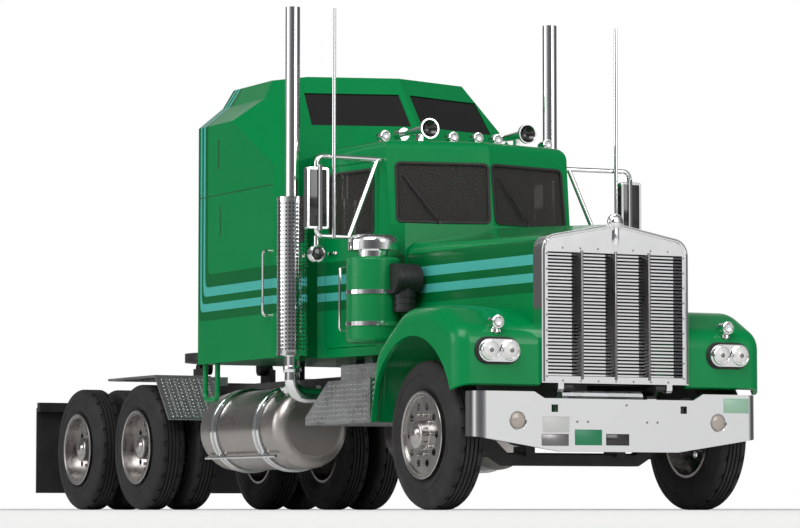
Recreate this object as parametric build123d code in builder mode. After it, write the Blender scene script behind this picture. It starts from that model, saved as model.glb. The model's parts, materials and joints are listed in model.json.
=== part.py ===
"""Display model of a conventional semi truck tractor with a raised-roof sleeper, about 1:25.

Millimetres. +X is forward, +Y is the driver's left, +Z is up. The origin is on the floor under
the middle of the model. Places along the truck are written as distances ahead of the front axle.
"""
import os
from math import hypot

from build123d import *

# Overall layout
FRONT_OVERHANG = 29.8       # front axle to the bumper's face
WHEELBASE = 224.5           # front axle to the first drive axle
TANDEM_SPACING = 55.9       # first drive axle to the second
REAR_OVERHANG = 40.6        # second drive axle to the back of the mud flaps
FRONT_AXLE_X = (WHEELBASE + TANDEM_SPACING + REAR_OVERHANG - FRONT_OVERHANG) / 2

# Tyres and wheels
TYRE_RADIUS = 22.1
TYRE_WIDTH = 10.6
TYRE_SHOULDER = 1.6         # radius of the tread's edges
RIM_RADIUS = 12.3           # tyre seat
RIM_WALL = 0.8
RIM_LIP = 0.6               # height of the rim's edge above the tyre seat
RIM_LIP_WIDTH = 0.5
BEAD_INSET = 1.4            # tyre bead inside the sidewall
FRONT_RIM_OUT = 5.4         # outer edge of a front rim, from the tyre's middle
FRONT_DISC = (3.8, 4.9)     # inner and outer faces of a front wheel's disc
FRONT_HUB_END = 7.2
TWIN_RIM_OUT = 12.0         # outer edge of a twin rim, from the middle between the tyres
TWIN_DISC = (6.0, 7.2)
TWIN_HUB_END = 10.4
SEAT_GAP = 0.04             # tyre to rim
FRONT_TRACK_HALF = 45.0     # middle of a front tyre
DUAL_SPACING = 13.4         # middle of the inner tyre to the middle of the outer
REAR_TRACK_HALF = 35.9      # middle between twin tyres
HAND_HOLES = 10
HAND_HOLE_RADIUS = 1.1
HAND_HOLE_CIRCLE = 8.7
RUNNING_FIT = 0.05          # radial clearance of turning fits
SIDE_PLAY = 0.3             # clearance beside turning pieces
HUB_RADIUS = 4.2
FRONT_SPINDLE_RADIUS = 2.0
REAR_SPINDLE_RADIUS = 2.4

# Frame
RAIL_OUTSIDE = 17.3         # outer face of a rail
RAIL_WIDTH = 3.2
RAIL_TOP = 44.0
RAIL_HEIGHT = 11.0
RAIL_WALL = 0.9
RAIL_FRONT = 22.0           # ahead of the front axle
RAIL_PAD_WIDTH = 5.0
CROSSMEMBER_LENGTH = 4.0
DECK_CROSSMEMBER = 38.5     # ahead of the first drive axle
END_CROSSMEMBER = 9.0       # ahead of the mud flaps' back
CROSSMEMBER_DROP = 2.0      # below the rail's top
CROSSMEMBER_HEIGHT = 5.0

# Bumper
BUMPER_HALF = 48.3
BUMPER_WALL = 1.6
BUMPER_DEPTH = 6.0
BUMPER_TOP = 34.4
BUMPER_DIP = 32.5           # top edge in front of the grille
BUMPER_DIP_HALF = 25.4
BUMPER_BOTTOM = 21.4        # at the ends
BUMPER_APRON = 17.0         # lowest edge, in the middle
BUMPER_APRON_HALF = 20.0
FOG_LAMP_Y = 34.2
FOG_LAMP_Z = 26.0
FOG_LAMP_RADIUS = 2.9
TOW_HOLE_Y = 22.0
TOW_HOLE_Z = 29.6
TOW_HOLE = 2.2

# Hood, fenders and grille
GRILLE_FACE = 27.7
GRILLE_DEPTH = 5.2
GRILLE_HALF = 25.05
GRILLE_BOTTOM = 37.1
GRILLE_SHOULDER = 80.1
GRILLE_PEAK = 84.7
GRILLE_FRAME = 2.0
GRILLE_OPENING_TOP = 75.6   # under the plain gable
GRILLE_SLATS = 36
GRILLE_SLAT_HEIGHT = 0.5
GRILLE_SLAT_DEPTH = 1.2
GRILLE_POSTS = (-11.5, 0.0, 11.5)
GRILLE_POST_WIDTH = 0.7
HOOD_REAR = -46.5
HOOD_REAR_HALF = 31.0
HOOD_REAR_SHOULDER = 82.5
HOOD_REAR_PEAK = 88.6
HOOD_SIDE_BOTTOM = 50.0
HOOD_WALL = 1.3
HOOD_CORNER = 5.0
HOOD_PIN_X = 26.0
HOOD_PIN_Z = 36.0
HOOD_PIN_RADIUS = 0.8
FENDER_OUTSIDE = 52.4
FENDER_INSIDE = 24.0
FENDER_FACE = 26.6
FENDER_REAR = -33.6
FENDER_REAR_BOTTOM = 26.7
FENDER_FRONT_BOTTOM = 36.6
FENDER_CROWN = 60.2
FENDER_CROWN_FRONT = 12.0
FENDER_CROWN_REAR = -10.0
FENDER_HIP = (-28.2, 48.5)
FENDER_BROW = 52.5          # top of the face
FENDER_CROWN_ROUND = 16.0
FENDER_HIP_ROUND = 10.0
FENDER_BROW_ROUND = 7.0
FENDER_EDGE = 5.0           # rounding of the outer edges
FENDER_ROLL_FROM = 33.0     # edges whose middle is higher are rounded
ARCH_RADIUS = 26.4
ARCH_X = -2.8               # the wheel arch's middle
ARCH_Z = 25.1
LAMP_POD_Y = 39.4
LAMP_POD_Z = 46.2
LAMP_POD_WIDTH = 13.6
LAMP_POD_HEIGHT = 6.6
LAMP_POD_DEPTH = 1.6
LAMP_RADIUS = 2.7
LAMP_SPACING = 6.7
SIGNAL_LAMP_X = 27.2
SIGNAL_LAMP_Z = 54.6
SIGNAL_LAMP_RADIUS = 1.6
SIGNAL_LAMP_LENGTH = 3.6
SIGNAL_POST_RADIUS = 0.6

# Cab
CAB_BOTTOM = 48.6
CAB_FRONT = -47.6
CAB_FRONT_HALF = 31.4
CAB_SHOULDER_X = -57.0      # where the side wall starts
CAB_SHOULDER_HALF = 32.5
CAB_REAR = -96.0
CAB_REAR_HALF = 38.5
CAB_WALL = 1.4
COWL_TOP = 89.2
ROOF_TOP = 116.6
ROOF_ROUND = 4.0
WINDSHIELD_TIP = -49.0      # at the middle of the vee, halfway up the panes
WINDSHIELD_SIDE_X = -56.8
WINDSHIELD_SIDE_HALF = 32.4
WINDSHIELD_RAKE = 0.12      # back for each millimetre up
PANE_DIVIDER = 0.75         # middle of the vee to a pane
PANE_SIDE = 2.3             # pane to the pillar's edge
PANE_CORNER = 2.0
PANE_BOTTOM = 90.1
PANE_DROP = 7.4             # pane's top below the roof
GLASS = 0.8
GLASS_SET_IN = 0.35
DOOR_FRONT = -62.4
DOOR_REAR = -91.5
DOOR_BOTTOM = 51.5
DOOR_DROP = 6.6             # door's top below the roof
DOOR_SEAM = 0.2
DOOR_CORNER = 2.0
HINGE_PLACES = (58.0, 80.0)
HINGE_OUT = 0.8             # hinge axis outside the wall
HINGE_BARREL = 0.65
HINGE_PIN = 0.32
HINGE_LEAF = 2.4
HINGE_MIDDLE = 2.0          # height of the door's barrel
HINGE_END = 1.5             # height of each of the cab's barrels
HINGE_GAP = 0.12
DOOR_WINDOW_BOTTOM = 87.0
DOOR_WINDOW_MARGIN = 2.4
CRAWL_HALF = 16.0           # opening from the cab to the sleeper
CRAWL_BOTTOM = 58.0
CRAWL_TOP = 104.0

# Sleeper
SLEEPER_FRONT = -103.0
SLEEPER_GAP = 55.5          # sleeper's back to the first drive axle
SLEEPER_HALF = 48.4
SLEEPER_BOTTOM = 49.2
SLEEPER_TOP = 143.6
SLEEPER_SIDE_DROP = 13.9    # top of the side below the roof
SLEEPER_KNEE_DROP = 6.6
SLEEPER_KNEE_HALF = 39.5
SLEEPER_TOP_HALF = 35.4
SLEEPER_WALL = 1.5
SLEEPER_CORNER = 5.2        # slanted front corners
BROW_GAP = 0.4              # cab roof to the part over it
BROW_TIP = -98.5            # windows' plane at the middle, at the reference height
BROW_DROP = 19.1            # reference height below the roof
BROW_RAKE = 0.806           # back for each millimetre up
BROW_SWEEP = 0.332          # back for each millimetre out
FLANK_BOTTOM = (-112.0, 114.0)
FLANK_TOP = (-141.6, 130.0)
FLANK_IN = (-111.0, 37.6, 126.5)
SKY_WINDOW_DROP = (6.0, 17.6)
SKY_WINDOW_PILLAR = 2.0
SKY_WINDOW_OUT = 33.5
SKY_WINDOW_LEAN = 1.4
LOOP_INSET = 2.0            # step loop ahead of the sleeper's back
LOOP_LENGTH = 10.0
LOOP_Y = 46.4
LOOP_BOTTOM = 37.0
LOOP_BEND = 2.4
LOOP_RADIUS = 0.9

# Tanks, steps and exhaust
TANK_FRONT = -106.0
TANK_BEHIND = 1.0           # tank's end behind the sleeper
TANK_Y = 35.0
TANK_Z = 26.6
TANK_RADIUS = 13.3
TANK_END_ROUND = 4.0
STRAP_SHARES = (15 / 64, 49 / 64)  # places along the tank
STRAP_WIDTH = 3.4
STRAP_THICKNESS = 0.6
STEP_FRONT = -42.6
STEP_REAR = -89.0           # lower rear corner
STEP_TREAD_REAR = -72.4
STEP_OUT = 46.0
STEP_UPPER_OUT = 41.5
STEP_BOTTOM = 26.8
STEP_HEEL = 29.4            # where the slanted rear edge starts
STEP_TREAD = 40.4
STEP_TOP = 45.4
STACK_X = -95.6
STACK_Y = 47.6
STACK_RADIUS = 2.4
STACK_TOP = 162.0
STACK_ELBOW_Z = 36.5
STACK_ELBOW_BEND = 5.0
GUARD_RADIUS = 4.85
GUARD_WALL = 0.45
GUARD_BOTTOM = 49.5
GUARD_TOP = 100.0
GUARD_STAYS = (54.0, 96.0)
STAY_RADIUS = 0.7

# Deck, flaps and fifth wheel
QUARTER_IN = 24.6
QUARTER_OUT = 46.0
QUARTER_THICK = 0.9
QUARTER_LOW_AHEAD = 24.9    # from the first drive axle
QUARTER_LOW_Z = 31.6
QUARTER_HIGH_AHEAD = 12.5
QUARTER_HIGH_Z = 46.8
QUARTER_BEHIND = 30.5
QUARTER_STAY = 4.0          # half the length of the plate's stay
FLAP_IN = 24.0
FLAP_OUT = 48.4
FLAP_BOTTOM = 6.3
FLAP_TOP = 38.4
FLAP_THICK = 0.9
FIFTH_AHEAD = 6.45          # ahead of the tandem's middle
FIFTH_TOP = 56.8
FIFTH_THICK = 3.2
FIFTH_RADIUS = 18.2
FIFTH_PIVOT_Z = 51.2
FIFTH_PIVOT_RADIUS = 1.2
FIFTH_EAR_Y = 12.0
FIFTH_EAR_WIDTH = 2.4
KING_PIN_BORE = 1.05
FIFTH_THROAT = 7.0
FIFTH_JAW = 2.4             # closed jaw behind the king pin bore's middle

# Front axle and steering
KING_PIN_Y = 33.5
KING_PIN_RADIUS = 1.0
AXLE_EYE_RADIUS = 2.4
AXLE_EYE_HALF = 2.6
BEAM_WIDTH = 4.0
BEAM_HEIGHT = 3.4
BEAM_BOTTOM = 13.2
SPRING_WIDTH = 3.0
SPRING_HALF = 20.0
SPRING_THICK = 2.2
SPRING_EYE_Z = 31.2
KNUCKLE_WEB = 1.6
STEER_ARM_BACK = 9.0
TIE_ROD_Z = 16.6
TIE_ROD_RADIUS = 0.7
TIE_ROD_EYE = 2.0           # height of an end eye
TIE_ROD_PIN = 0.6

# Engine, radiator and drive line
ENGINE_BLOCKS = (           # reach along the truck, half-width, and bottom and top
    ((-40.0, 4.0), 9.0, (38.0, 66.0)),
    ((-38.0, 2.0), 7.0, (66.0, 73.0)),
    ((-36.0, 0.0), 6.0, (30.0, 38.0)),
)
ENGINE_MOUNT = ((-30.0, -24.0), 8.0, (40.0, 43.0))
FLYWHEEL_X = -40.0
FLYWHEEL_Z = 44.0
FLYWHEEL_RADIUS = 9.5
FLYWHEEL_LENGTH = 7.0
GEARBOX_BACK = -77.0
GEARBOX_Z = 39.0
GEARBOX_RADIUS = 6.5
GEARBOX_OUTPUT_DROP = 3.0
FAN_X = 5.4
FAN_Z = 55.0
FAN_RADIUS = 12.0
FAN_THICK = 1.2
FAN_SHAFT_X = 4.0
FAN_SHAFT_RADIUS = 1.6
FAN_SHAFT_LENGTH = 2.6
RADIATOR_CORE = ((10.0, 16.0), 20.0)
RADIATOR_TANK = ((9.2, 16.8), 20.6)
RADIATOR_FOOT = (10.5, 15.5)
RADIATOR_FOOT_HEIGHT = 4.0
RADIATOR_CORE_TOP = 72.0
RADIATOR_TOP = 75.5
GEAR_HEAD_NOSE = 10.4
GEAR_HEAD_NOSE_RADIUS = 4.0
GEAR_HEAD_TAIL = 9.2
GEAR_HEAD_TAIL_RADIUS = 3.0
GEAR_HEAD_RADIUS = 8.4
GEAR_HEAD_Z = TYRE_RADIUS + 2
AXLE_TUBE_RADIUS = 3.4
HUB_CLEAR = 1.8             # hub's inner end inside the inner tyre
SPINDLE_PAST = 7.0          # spindle's end outside the middle of the twin tyres
SHAFT_GAP = 0.3
LONG_SHAFT_RADIUS = 1.5
SHORT_SHAFT_RADIUS = 1.3
WALKING_BEAM_DEPTH = 4.0    # at the middle
WALKING_BEAM_END = 2.4      # depth at an end
WALKING_BEAM_PAST = 5.0     # end outside an axle
SADDLE_HALF = (9.0, 5.0)    # at the beam and at the rail

# Seats and dashboard
SEAT_SIDES = (9.0, 24.0)
CUSHION = ((-84.0, -69.0), (0.0, 16.0))    # along the truck, and above the floor
BACKREST = ((-87.0, -82.0), (12.0, 40.0))
DASH_BACK = -56.0
DASH_HALF = 28.0
DASH_HEIGHT = (70.0, 85.0)
COLUMN_FOOT = (-54.0, 76.0)
COLUMN_TOP = (-65.6, 82.4)
COLUMN_Y = 16.0
COLUMN_RADIUS = 0.9
STEERING_WHEEL_RADIUS = 7.0
STEERING_WHEEL_RIM = 0.7
STEERING_WHEEL_SPOKE = (1.2, 0.9)
BOOT_WALL = 3.0

# Air cleaners, mirrors and roof
CLEANER_X = -48.6
CLEANER_Y = 42.0
CLEANER_RADIUS = 8.4
CLEANER_BOTTOM = 51.5
CLEANER_TOP = 78.0
CLEANER_CAP_TOP = 85.0
CLEANER_CAP_RADIUS = 8.0
CLEANER_NECK_RADIUS = 4.6
BAND_HEIGHT = 1.3
BAND_PLACES = (56.6, 66.4)
BAND_THICK = 0.22
INTAKE_RADIUS = 4.6
INTAKE_Z = 71.0
INTAKE_NECK_RADIUS = 3.4
INTAKE_NECK_BOTTOM = 60.8
INTAKE_GAP = 0.8
MIRROR_X = -59.0
MIRROR_DROP = 6.6           # upper tube below the roof
MIRROR_OUT = 56.6
MIRROR_LOW = 85.0
MIRROR_LOW_IN = 45.4
MIRROR_TUBE = 0.75
MIRROR_HEAD = (2.0, 7.6, 18.6)
MIRROR_HEAD_Z = 96.8
SPOT_MIRROR_Z = 79.4
SPOT_MIRROR_RADIUS = 2.6
AERIAL_Y = 51.0
AERIAL_TOP = 156.6
AERIAL_RADIUS = 0.6
HORN_Y = 17.7
HORN_X = -57.0
HORN_RISE = 3.8             # above the roof
HORN_BELL = 3.2
HORN_LENGTH = 22.0
MARKER_PLACES = ((-65.0, 29.5), (-59.4, 8.0), (-57.6, 0.0), (-59.4, -8.0), (-65.0, -29.5))
MARKER_RADIUS = 1.5
MARKER_LENGTH = 6.0
MARKER_ROUND = 1.2
MARKER_GAP = 0.2            # above the roof
MARKER_FOOT = 0.8           # half the foot's width


def fx(ahead):
    """Place along X of a point this far ahead of the front axle."""
    return FRONT_AXLE_X + ahead


def block(x, y, z, mode=Mode.ADD):
    """A box between two limits along each axis."""
    with Locations(((x[0] + x[1]) / 2, (y[0] + y[1]) / 2, (z[0] + z[1]) / 2)):
        Box(abs(x[1] - x[0]), abs(y[1] - y[0]), abs(z[1] - z[0]), mode=mode)


def tube(points, bend, radius):
    """A round bar along straight runs joined by arcs."""
    with BuildLine() as route:
        if len(points) > 2:
            FilletPolyline(*points, radius=bend)
        else:
            Line(*points)
    with BuildSketch(route.line ^ 0) as section:
        Circle(radius)
    sweep(sections=section.sketch, path=route.line)


def drum(place, direction, radius, length, mode=Mode.ADD):
    """A cylinder that starts at a place and runs along a direction."""
    with Locations(Plane(origin=place, z_dir=direction).location):
        Cylinder(radius, length, align=(Align.CENTER, Align.CENTER, Align.MIN), mode=mode)


def keep(piece, name):
    """Label a finished piece and write it out."""
    piece.label = name
    export_step(piece, f"parts/{name}.step")


os.makedirs("parts", exist_ok=True)
SIDES = (("right", -1), ("left", 1))
TANDEM_MIDDLE = -WHEELBASE - TANDEM_SPACING / 2
FIFTH_X = TANDEM_MIDDLE + FIFTH_AHEAD
SLEEPER_REAR = -WHEELBASE + SLEEPER_GAP
SLEEPER_SIDE_TOP = SLEEPER_TOP - SLEEPER_SIDE_DROP
SLEEPER_KNEE = (SLEEPER_KNEE_HALF, SLEEPER_TOP - SLEEPER_KNEE_DROP)
BROW_BOTTOM = ROOF_TOP + BROW_GAP
BROW_HEIGHT = SLEEPER_TOP - BROW_DROP
SKY_WINDOW_TOP, SKY_WINDOW_BOTTOM = (SLEEPER_TOP - drop for drop in SKY_WINDOW_DROP)
LOOP_REAR = SLEEPER_REAR + LOOP_INSET
LOOP_FRONT = LOOP_REAR + LOOP_LENGTH
TANK_REAR = SLEEPER_REAR - TANK_BEHIND
STRAP_PLACES = [TANK_FRONT + share * (TANK_REAR - TANK_FRONT) for share in STRAP_SHARES]
QUARTER_LOW = (-WHEELBASE + QUARTER_LOW_AHEAD, QUARTER_LOW_Z)
QUARTER_HIGH = (-WHEELBASE + QUARTER_HIGH_AHEAD, QUARTER_HIGH_Z)
QUARTER_BACK = -WHEELBASE - QUARTER_BEHIND
PANE_TOP = ROOF_TOP - PANE_DROP
DOOR_TOP = ROOF_TOP - DOOR_DROP
MIRROR_TOP = ROOF_TOP - MIRROR_DROP
HORN_Z = ROOF_TOP + HORN_RISE
FLAP_BACK = -WHEELBASE - TANDEM_SPACING - REAR_OVERHANG
RAIL_REAR = FLAP_BACK + 3.4
RAIL_BOTTOM = RAIL_TOP - RAIL_HEIGHT
RAIL_INSIDE = RAIL_OUTSIDE - RAIL_WIDTH
RAIL_MIDDLE = RAIL_OUTSIDE - RAIL_WIDTH / 2
RAIL_WEB = RAIL_OUTSIDE - RAIL_WALL
CROSSMEMBERS = (RAIL_FRONT - CROSSMEMBER_LENGTH, CAB_REAR - CROSSMEMBER_LENGTH,
                -WHEELBASE + DECK_CROSSMEMBER,
                TANDEM_MIDDLE, FLAP_BACK + END_CROSSMEMBER)
PADS = ((CAB_SHOULDER_X - RAIL_PAD_WIDTH, CAB_BOTTOM), (CAB_REAR + RAIL_PAD_WIDTH, CAB_BOTTOM),
        (SLEEPER_FRONT - 2 * RAIL_PAD_WIDTH, SLEEPER_BOTTOM),
        (SLEEPER_REAR + 2 * RAIL_PAD_WIDTH, SLEEPER_BOTTOM))

# Frame rails: channels that open inwards, with pads under the cab and the sleeper
with BuildPart() as frame_rails:
    block((fx(RAIL_REAR), fx(RAIL_FRONT)), (RAIL_INSIDE, RAIL_OUTSIDE), (RAIL_BOTTOM, RAIL_TOP))
    block((fx(RAIL_REAR), fx(RAIL_FRONT)), (RAIL_INSIDE, RAIL_OUTSIDE - RAIL_WALL),
          (RAIL_BOTTOM + RAIL_WALL, RAIL_TOP - RAIL_WALL), mode=Mode.SUBTRACT)
    for pad_x, pad_top in PADS:
        block((fx(pad_x - RAIL_PAD_WIDTH / 2), fx(pad_x + RAIL_PAD_WIDTH / 2)),
              (RAIL_INSIDE, RAIL_OUTSIDE), (RAIL_TOP, pad_top))
    # Hinge bracket and pin that carry the tilting hood
    block((fx(RAIL_FRONT), fx(HOOD_PIN_X)), (RAIL_INSIDE, RAIL_OUTSIDE),
          (HOOD_PIN_Z - 1.0, HOOD_PIN_Z + 0.6))
    drum((fx(HOOD_PIN_X), RAIL_INSIDE, HOOD_PIN_Z), (0, 1, 0), HOOD_PIN_RADIUS + 0.3, RAIL_WIDTH)
    drum((fx(HOOD_PIN_X), RAIL_OUTSIDE, HOOD_PIN_Z), (0, 1, 0), HOOD_PIN_RADIUS, 2.4)
    mirror(about=Plane.XZ)
keep(frame_rails.part, "frame_rails")

with BuildPart() as crossmembers:
    for member_x in CROSSMEMBERS:
        block((fx(member_x - CROSSMEMBER_LENGTH / 2), fx(member_x + CROSSMEMBER_LENGTH / 2)),
              (-RAIL_WEB, RAIL_WEB),
              (RAIL_TOP - CROSSMEMBER_DROP - CROSSMEMBER_HEIGHT, RAIL_TOP - CROSSMEMBER_DROP))
keep(crossmembers.part, "crossmembers")

# Chrome bumper: a wrapped plate cut to its front outline
BUMPER_BACK = FRONT_OVERHANG - BUMPER_WALL
with BuildPart() as front_bumper:
    with BuildSketch(Plane.XY.offset(BUMPER_APRON)) as bumper_plan:
        with Locations((fx(FRONT_OVERHANG - BUMPER_DEPTH / 2), 0)):
            Rectangle(BUMPER_DEPTH, 2 * BUMPER_HALF)
        fillet(bumper_plan.vertices().group_by(Axis.X)[-1], radius=BUMPER_DEPTH * 0.6)
        with Locations((fx(FRONT_OVERHANG - BUMPER_DEPTH / 2 - BUMPER_WALL), 0)):
            Rectangle(BUMPER_DEPTH, 2 * (BUMPER_HALF - BUMPER_WALL), mode=Mode.SUBTRACT)
    extrude(amount=BUMPER_TOP - BUMPER_APRON)
    with BuildSketch(Plane.YZ.offset(fx(FRONT_OVERHANG - 2 * BUMPER_DEPTH))):
        with BuildLine():
            Polyline((0, BUMPER_APRON), (BUMPER_APRON_HALF, BUMPER_APRON),
                     (BUMPER_HALF + 1, BUMPER_BOTTOM),
                     (BUMPER_HALF + 1, BUMPER_TOP), (BUMPER_DIP_HALF + 3.4, BUMPER_TOP),
                     (BUMPER_DIP_HALF, BUMPER_DIP), (0, BUMPER_DIP), close=True)
        make_face()
        mirror(about=Plane.YZ)
    extrude(amount=3 * BUMPER_DEPTH, mode=Mode.INTERSECT)
    with BuildSketch(Plane.YZ.offset(fx(BUMPER_BACK - 1))):
        with Locations((TOW_HOLE_Y, TOW_HOLE_Z), (-TOW_HOLE_Y, TOW_HOLE_Z)):
            Rectangle(TOW_HOLE, TOW_HOLE)
        with Locations((FOG_LAMP_Y, FOG_LAMP_Z), (-FOG_LAMP_Y, FOG_LAMP_Z)):
            Circle(FOG_LAMP_RADIUS)
    extrude(amount=BUMPER_WALL + 2, mode=Mode.SUBTRACT)
    # Brackets back to the rails' front ends
    for side in (-1, 1):
        block((fx(RAIL_FRONT), fx(BUMPER_BACK)), (side * RAIL_INSIDE, side * RAIL_OUTSIDE),
              (BUMPER_BOTTOM + 2, RAIL_BOTTOM - 1.6))
        block((fx(RAIL_FRONT - 1.2), fx(RAIL_FRONT)), (side * RAIL_INSIDE, side * RAIL_OUTSIDE),
              (BUMPER_BOTTOM + 2, RAIL_BOTTOM))
keep(front_bumper.part, "front_bumper")

with BuildPart() as bumper_lamps:
    for side in (-1, 1):
        drum((fx(BUMPER_BACK - 1.5), side * FOG_LAMP_Y, FOG_LAMP_Z), (1, 0, 0),
             FOG_LAMP_RADIUS - SEAT_GAP, BUMPER_WALL + 1.2)
keep(bumper_lamps.part, "bumper_lamps")

# Front axle beam with its king pin eyes
with BuildPart() as front_axle:
    with BuildSketch(Plane.YZ.offset(fx(-BEAM_WIDTH / 2))):
        with BuildLine():
            Polyline((0, BEAM_BOTTOM), (23, BEAM_BOTTOM), (KING_PIN_Y, TYRE_RADIUS - AXLE_EYE_HALF),
                     (KING_PIN_Y, TYRE_RADIUS + AXLE_EYE_HALF),
                     (KING_PIN_Y - 2.5, TYRE_RADIUS + AXLE_EYE_HALF),
                     (22, BEAM_BOTTOM + BEAM_HEIGHT), (0, BEAM_BOTTOM + BEAM_HEIGHT), close=True)
        make_face()
        mirror(about=Plane.YZ)
    extrude(amount=BEAM_WIDTH)
    for side in (-1, 1):
        pin_foot = (fx(0), side * KING_PIN_Y, TYRE_RADIUS - AXLE_EYE_HALF)
        block((fx(-BEAM_WIDTH), fx(BEAM_WIDTH)),
              (side * (KING_PIN_Y - AXLE_EYE_RADIUS - 0.6), side * (KING_PIN_Y + 3)),
              (BEAM_BOTTOM, TYRE_RADIUS + 9), mode=Mode.SUBTRACT)
        block((fx(-BEAM_WIDTH / 2), fx(BEAM_WIDTH / 2)),
              (side * (KING_PIN_Y - AXLE_EYE_RADIUS - 1.2), side * KING_PIN_Y),
              (TYRE_RADIUS - AXLE_EYE_HALF, TYRE_RADIUS + AXLE_EYE_HALF))
        drum(pin_foot, (0, 0, 1), AXLE_EYE_RADIUS, 2 * AXLE_EYE_HALF)
        drum(pin_foot, (0, 0, 1), KING_PIN_RADIUS + RUNNING_FIT, 2 * AXLE_EYE_HALF, mode=Mode.SUBTRACT)
        block((fx(-BEAM_WIDTH), fx(BEAM_WIDTH)),
              (side * (RAIL_MIDDLE - SPRING_WIDTH / 2), side * (RAIL_MIDDLE + SPRING_WIDTH / 2)),
              (BEAM_BOTTOM + BEAM_HEIGHT - 0.6, BEAM_BOTTOM + BEAM_HEIGHT + 2.4))
keep(front_axle.part, "front_axle")

# Front leaf springs, bowed between the rails' hangers
SPRING_SEAT = BEAM_BOTTOM + BEAM_HEIGHT + 2.4
with BuildPart() as front_springs:
    with BuildSketch(Plane.XZ.offset(-RAIL_MIDDLE - SPRING_WIDTH / 2)):
        with BuildLine():
            ThreePointArc((fx(-SPRING_HALF), SPRING_EYE_Z), (fx(0), SPRING_SEAT),
                          (fx(SPRING_HALF), SPRING_EYE_Z))
            Line((fx(SPRING_HALF), SPRING_EYE_Z), (fx(SPRING_HALF), SPRING_EYE_Z + SPRING_THICK))
            ThreePointArc((fx(SPRING_HALF), SPRING_EYE_Z + SPRING_THICK),
                          (fx(0), SPRING_SEAT + SPRING_THICK),
                          (fx(-SPRING_HALF), SPRING_EYE_Z + SPRING_THICK))
            Line((fx(-SPRING_HALF), SPRING_EYE_Z + SPRING_THICK), (fx(-SPRING_HALF), SPRING_EYE_Z))
        make_face()
    extrude(amount=SPRING_WIDTH)
    block((fx(-SPRING_HALF) - 3, fx(SPRING_HALF) + 3), (RAIL_INSIDE - 1, RAIL_OUTSIDE + 1),
          (RAIL_BOTTOM, RAIL_TOP), mode=Mode.SUBTRACT)
    mirror(about=Plane.XZ)
keep(front_springs.part, "front_springs")

# Engine with gearbox: the heavy mass between the rails
GEARBOX_FRONT = FLYWHEEL_X - FLYWHEEL_LENGTH
with BuildPart() as engine:
    for reach, half, height in ENGINE_BLOCKS:
        block((fx(reach[0]), fx(reach[1])), (-half, half), height)
    drum((fx(FLYWHEEL_X), 0, FLYWHEEL_Z), (-1, 0, 0), FLYWHEEL_RADIUS, FLYWHEEL_LENGTH)
    drum((fx(GEARBOX_FRONT), 0, GEARBOX_Z), (-1, 0, 0), GEARBOX_RADIUS, GEARBOX_FRONT - GEARBOX_BACK)
    drum((fx(FAN_SHAFT_X), 0, FAN_Z), (1, 0, 0), FAN_SHAFT_RADIUS, FAN_SHAFT_LENGTH)
    drum((fx(FAN_X), 0, FAN_Z), (1, 0, 0), FAN_RADIUS, FAN_THICK)
    mount_reach, mount_in, mount_height = ENGINE_MOUNT
    for side in (-1, 1):
        block((fx(mount_reach[0]), fx(mount_reach[1])), (side * mount_in, side * RAIL_WEB),
              mount_height)
keep(engine.part, "engine")

with BuildPart() as radiator:
    reach, half = RADIATOR_CORE
    block((fx(reach[0]), fx(reach[1])), (-half, half), (RAIL_TOP, RADIATOR_CORE_TOP))
    reach, half = RADIATOR_TANK
    block((fx(reach[0]), fx(reach[1])), (-half, half), (RADIATOR_CORE_TOP, RADIATOR_TOP))
    block((fx(RADIATOR_FOOT[0]), fx(RADIATOR_FOOT[1])), (-RAIL_INSIDE, RAIL_INSIDE),
          (RAIL_TOP - RADIATOR_FOOT_HEIGHT, RAIL_TOP))
keep(radiator.part, "radiator")

with BuildPart() as drive_shafts:
    tube(((fx(GEARBOX_BACK - SHAFT_GAP), 0, GEARBOX_Z - GEARBOX_OUTPUT_DROP),
          (fx(-WHEELBASE + GEAR_HEAD_NOSE + SHAFT_GAP), 0, GEAR_HEAD_Z)), 0, LONG_SHAFT_RADIUS)
    tube(((fx(-WHEELBASE - GEAR_HEAD_TAIL), 0, GEAR_HEAD_Z),
          (fx(-WHEELBASE - TANDEM_SPACING + GEAR_HEAD_NOSE), 0, GEAR_HEAD_Z)), 0, SHORT_SHAFT_RADIUS)
keep(drive_shafts.part, "drive_shafts")

# Drive axle housings with their gear heads and spindles
HUB_INSIDE = REAR_TRACK_HALF - DUAL_SPACING / 2 - TYRE_WIDTH / 2 - HUB_CLEAR
SPINDLE_END = REAR_TRACK_HALF + SPINDLE_PAST
with BuildPart() as drive_axles:
    for axle_x in (-WHEELBASE, -WHEELBASE - TANDEM_SPACING):
        middle = (fx(axle_x), 0, TYRE_RADIUS)
        drum((fx(axle_x), -HUB_INSIDE + SIDE_PLAY, TYRE_RADIUS), (0, 1, 0), AXLE_TUBE_RADIUS,
             2 * (HUB_INSIDE - SIDE_PLAY))
        drum((fx(axle_x), -SPINDLE_END, TYRE_RADIUS), (0, 1, 0), REAR_SPINDLE_RADIUS, 2 * SPINDLE_END)
        with Locations(middle):
            Sphere(GEAR_HEAD_RADIUS)
        drum((fx(axle_x), 0, GEAR_HEAD_Z), (1, 0, 0), GEAR_HEAD_NOSE_RADIUS, GEAR_HEAD_NOSE)
        if axle_x == -WHEELBASE:
            drum((fx(axle_x), 0, GEAR_HEAD_Z), (-1, 0, 0), GEAR_HEAD_TAIL_RADIUS, GEAR_HEAD_TAIL)
keep(drive_axles.part, "drive_axles")

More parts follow.
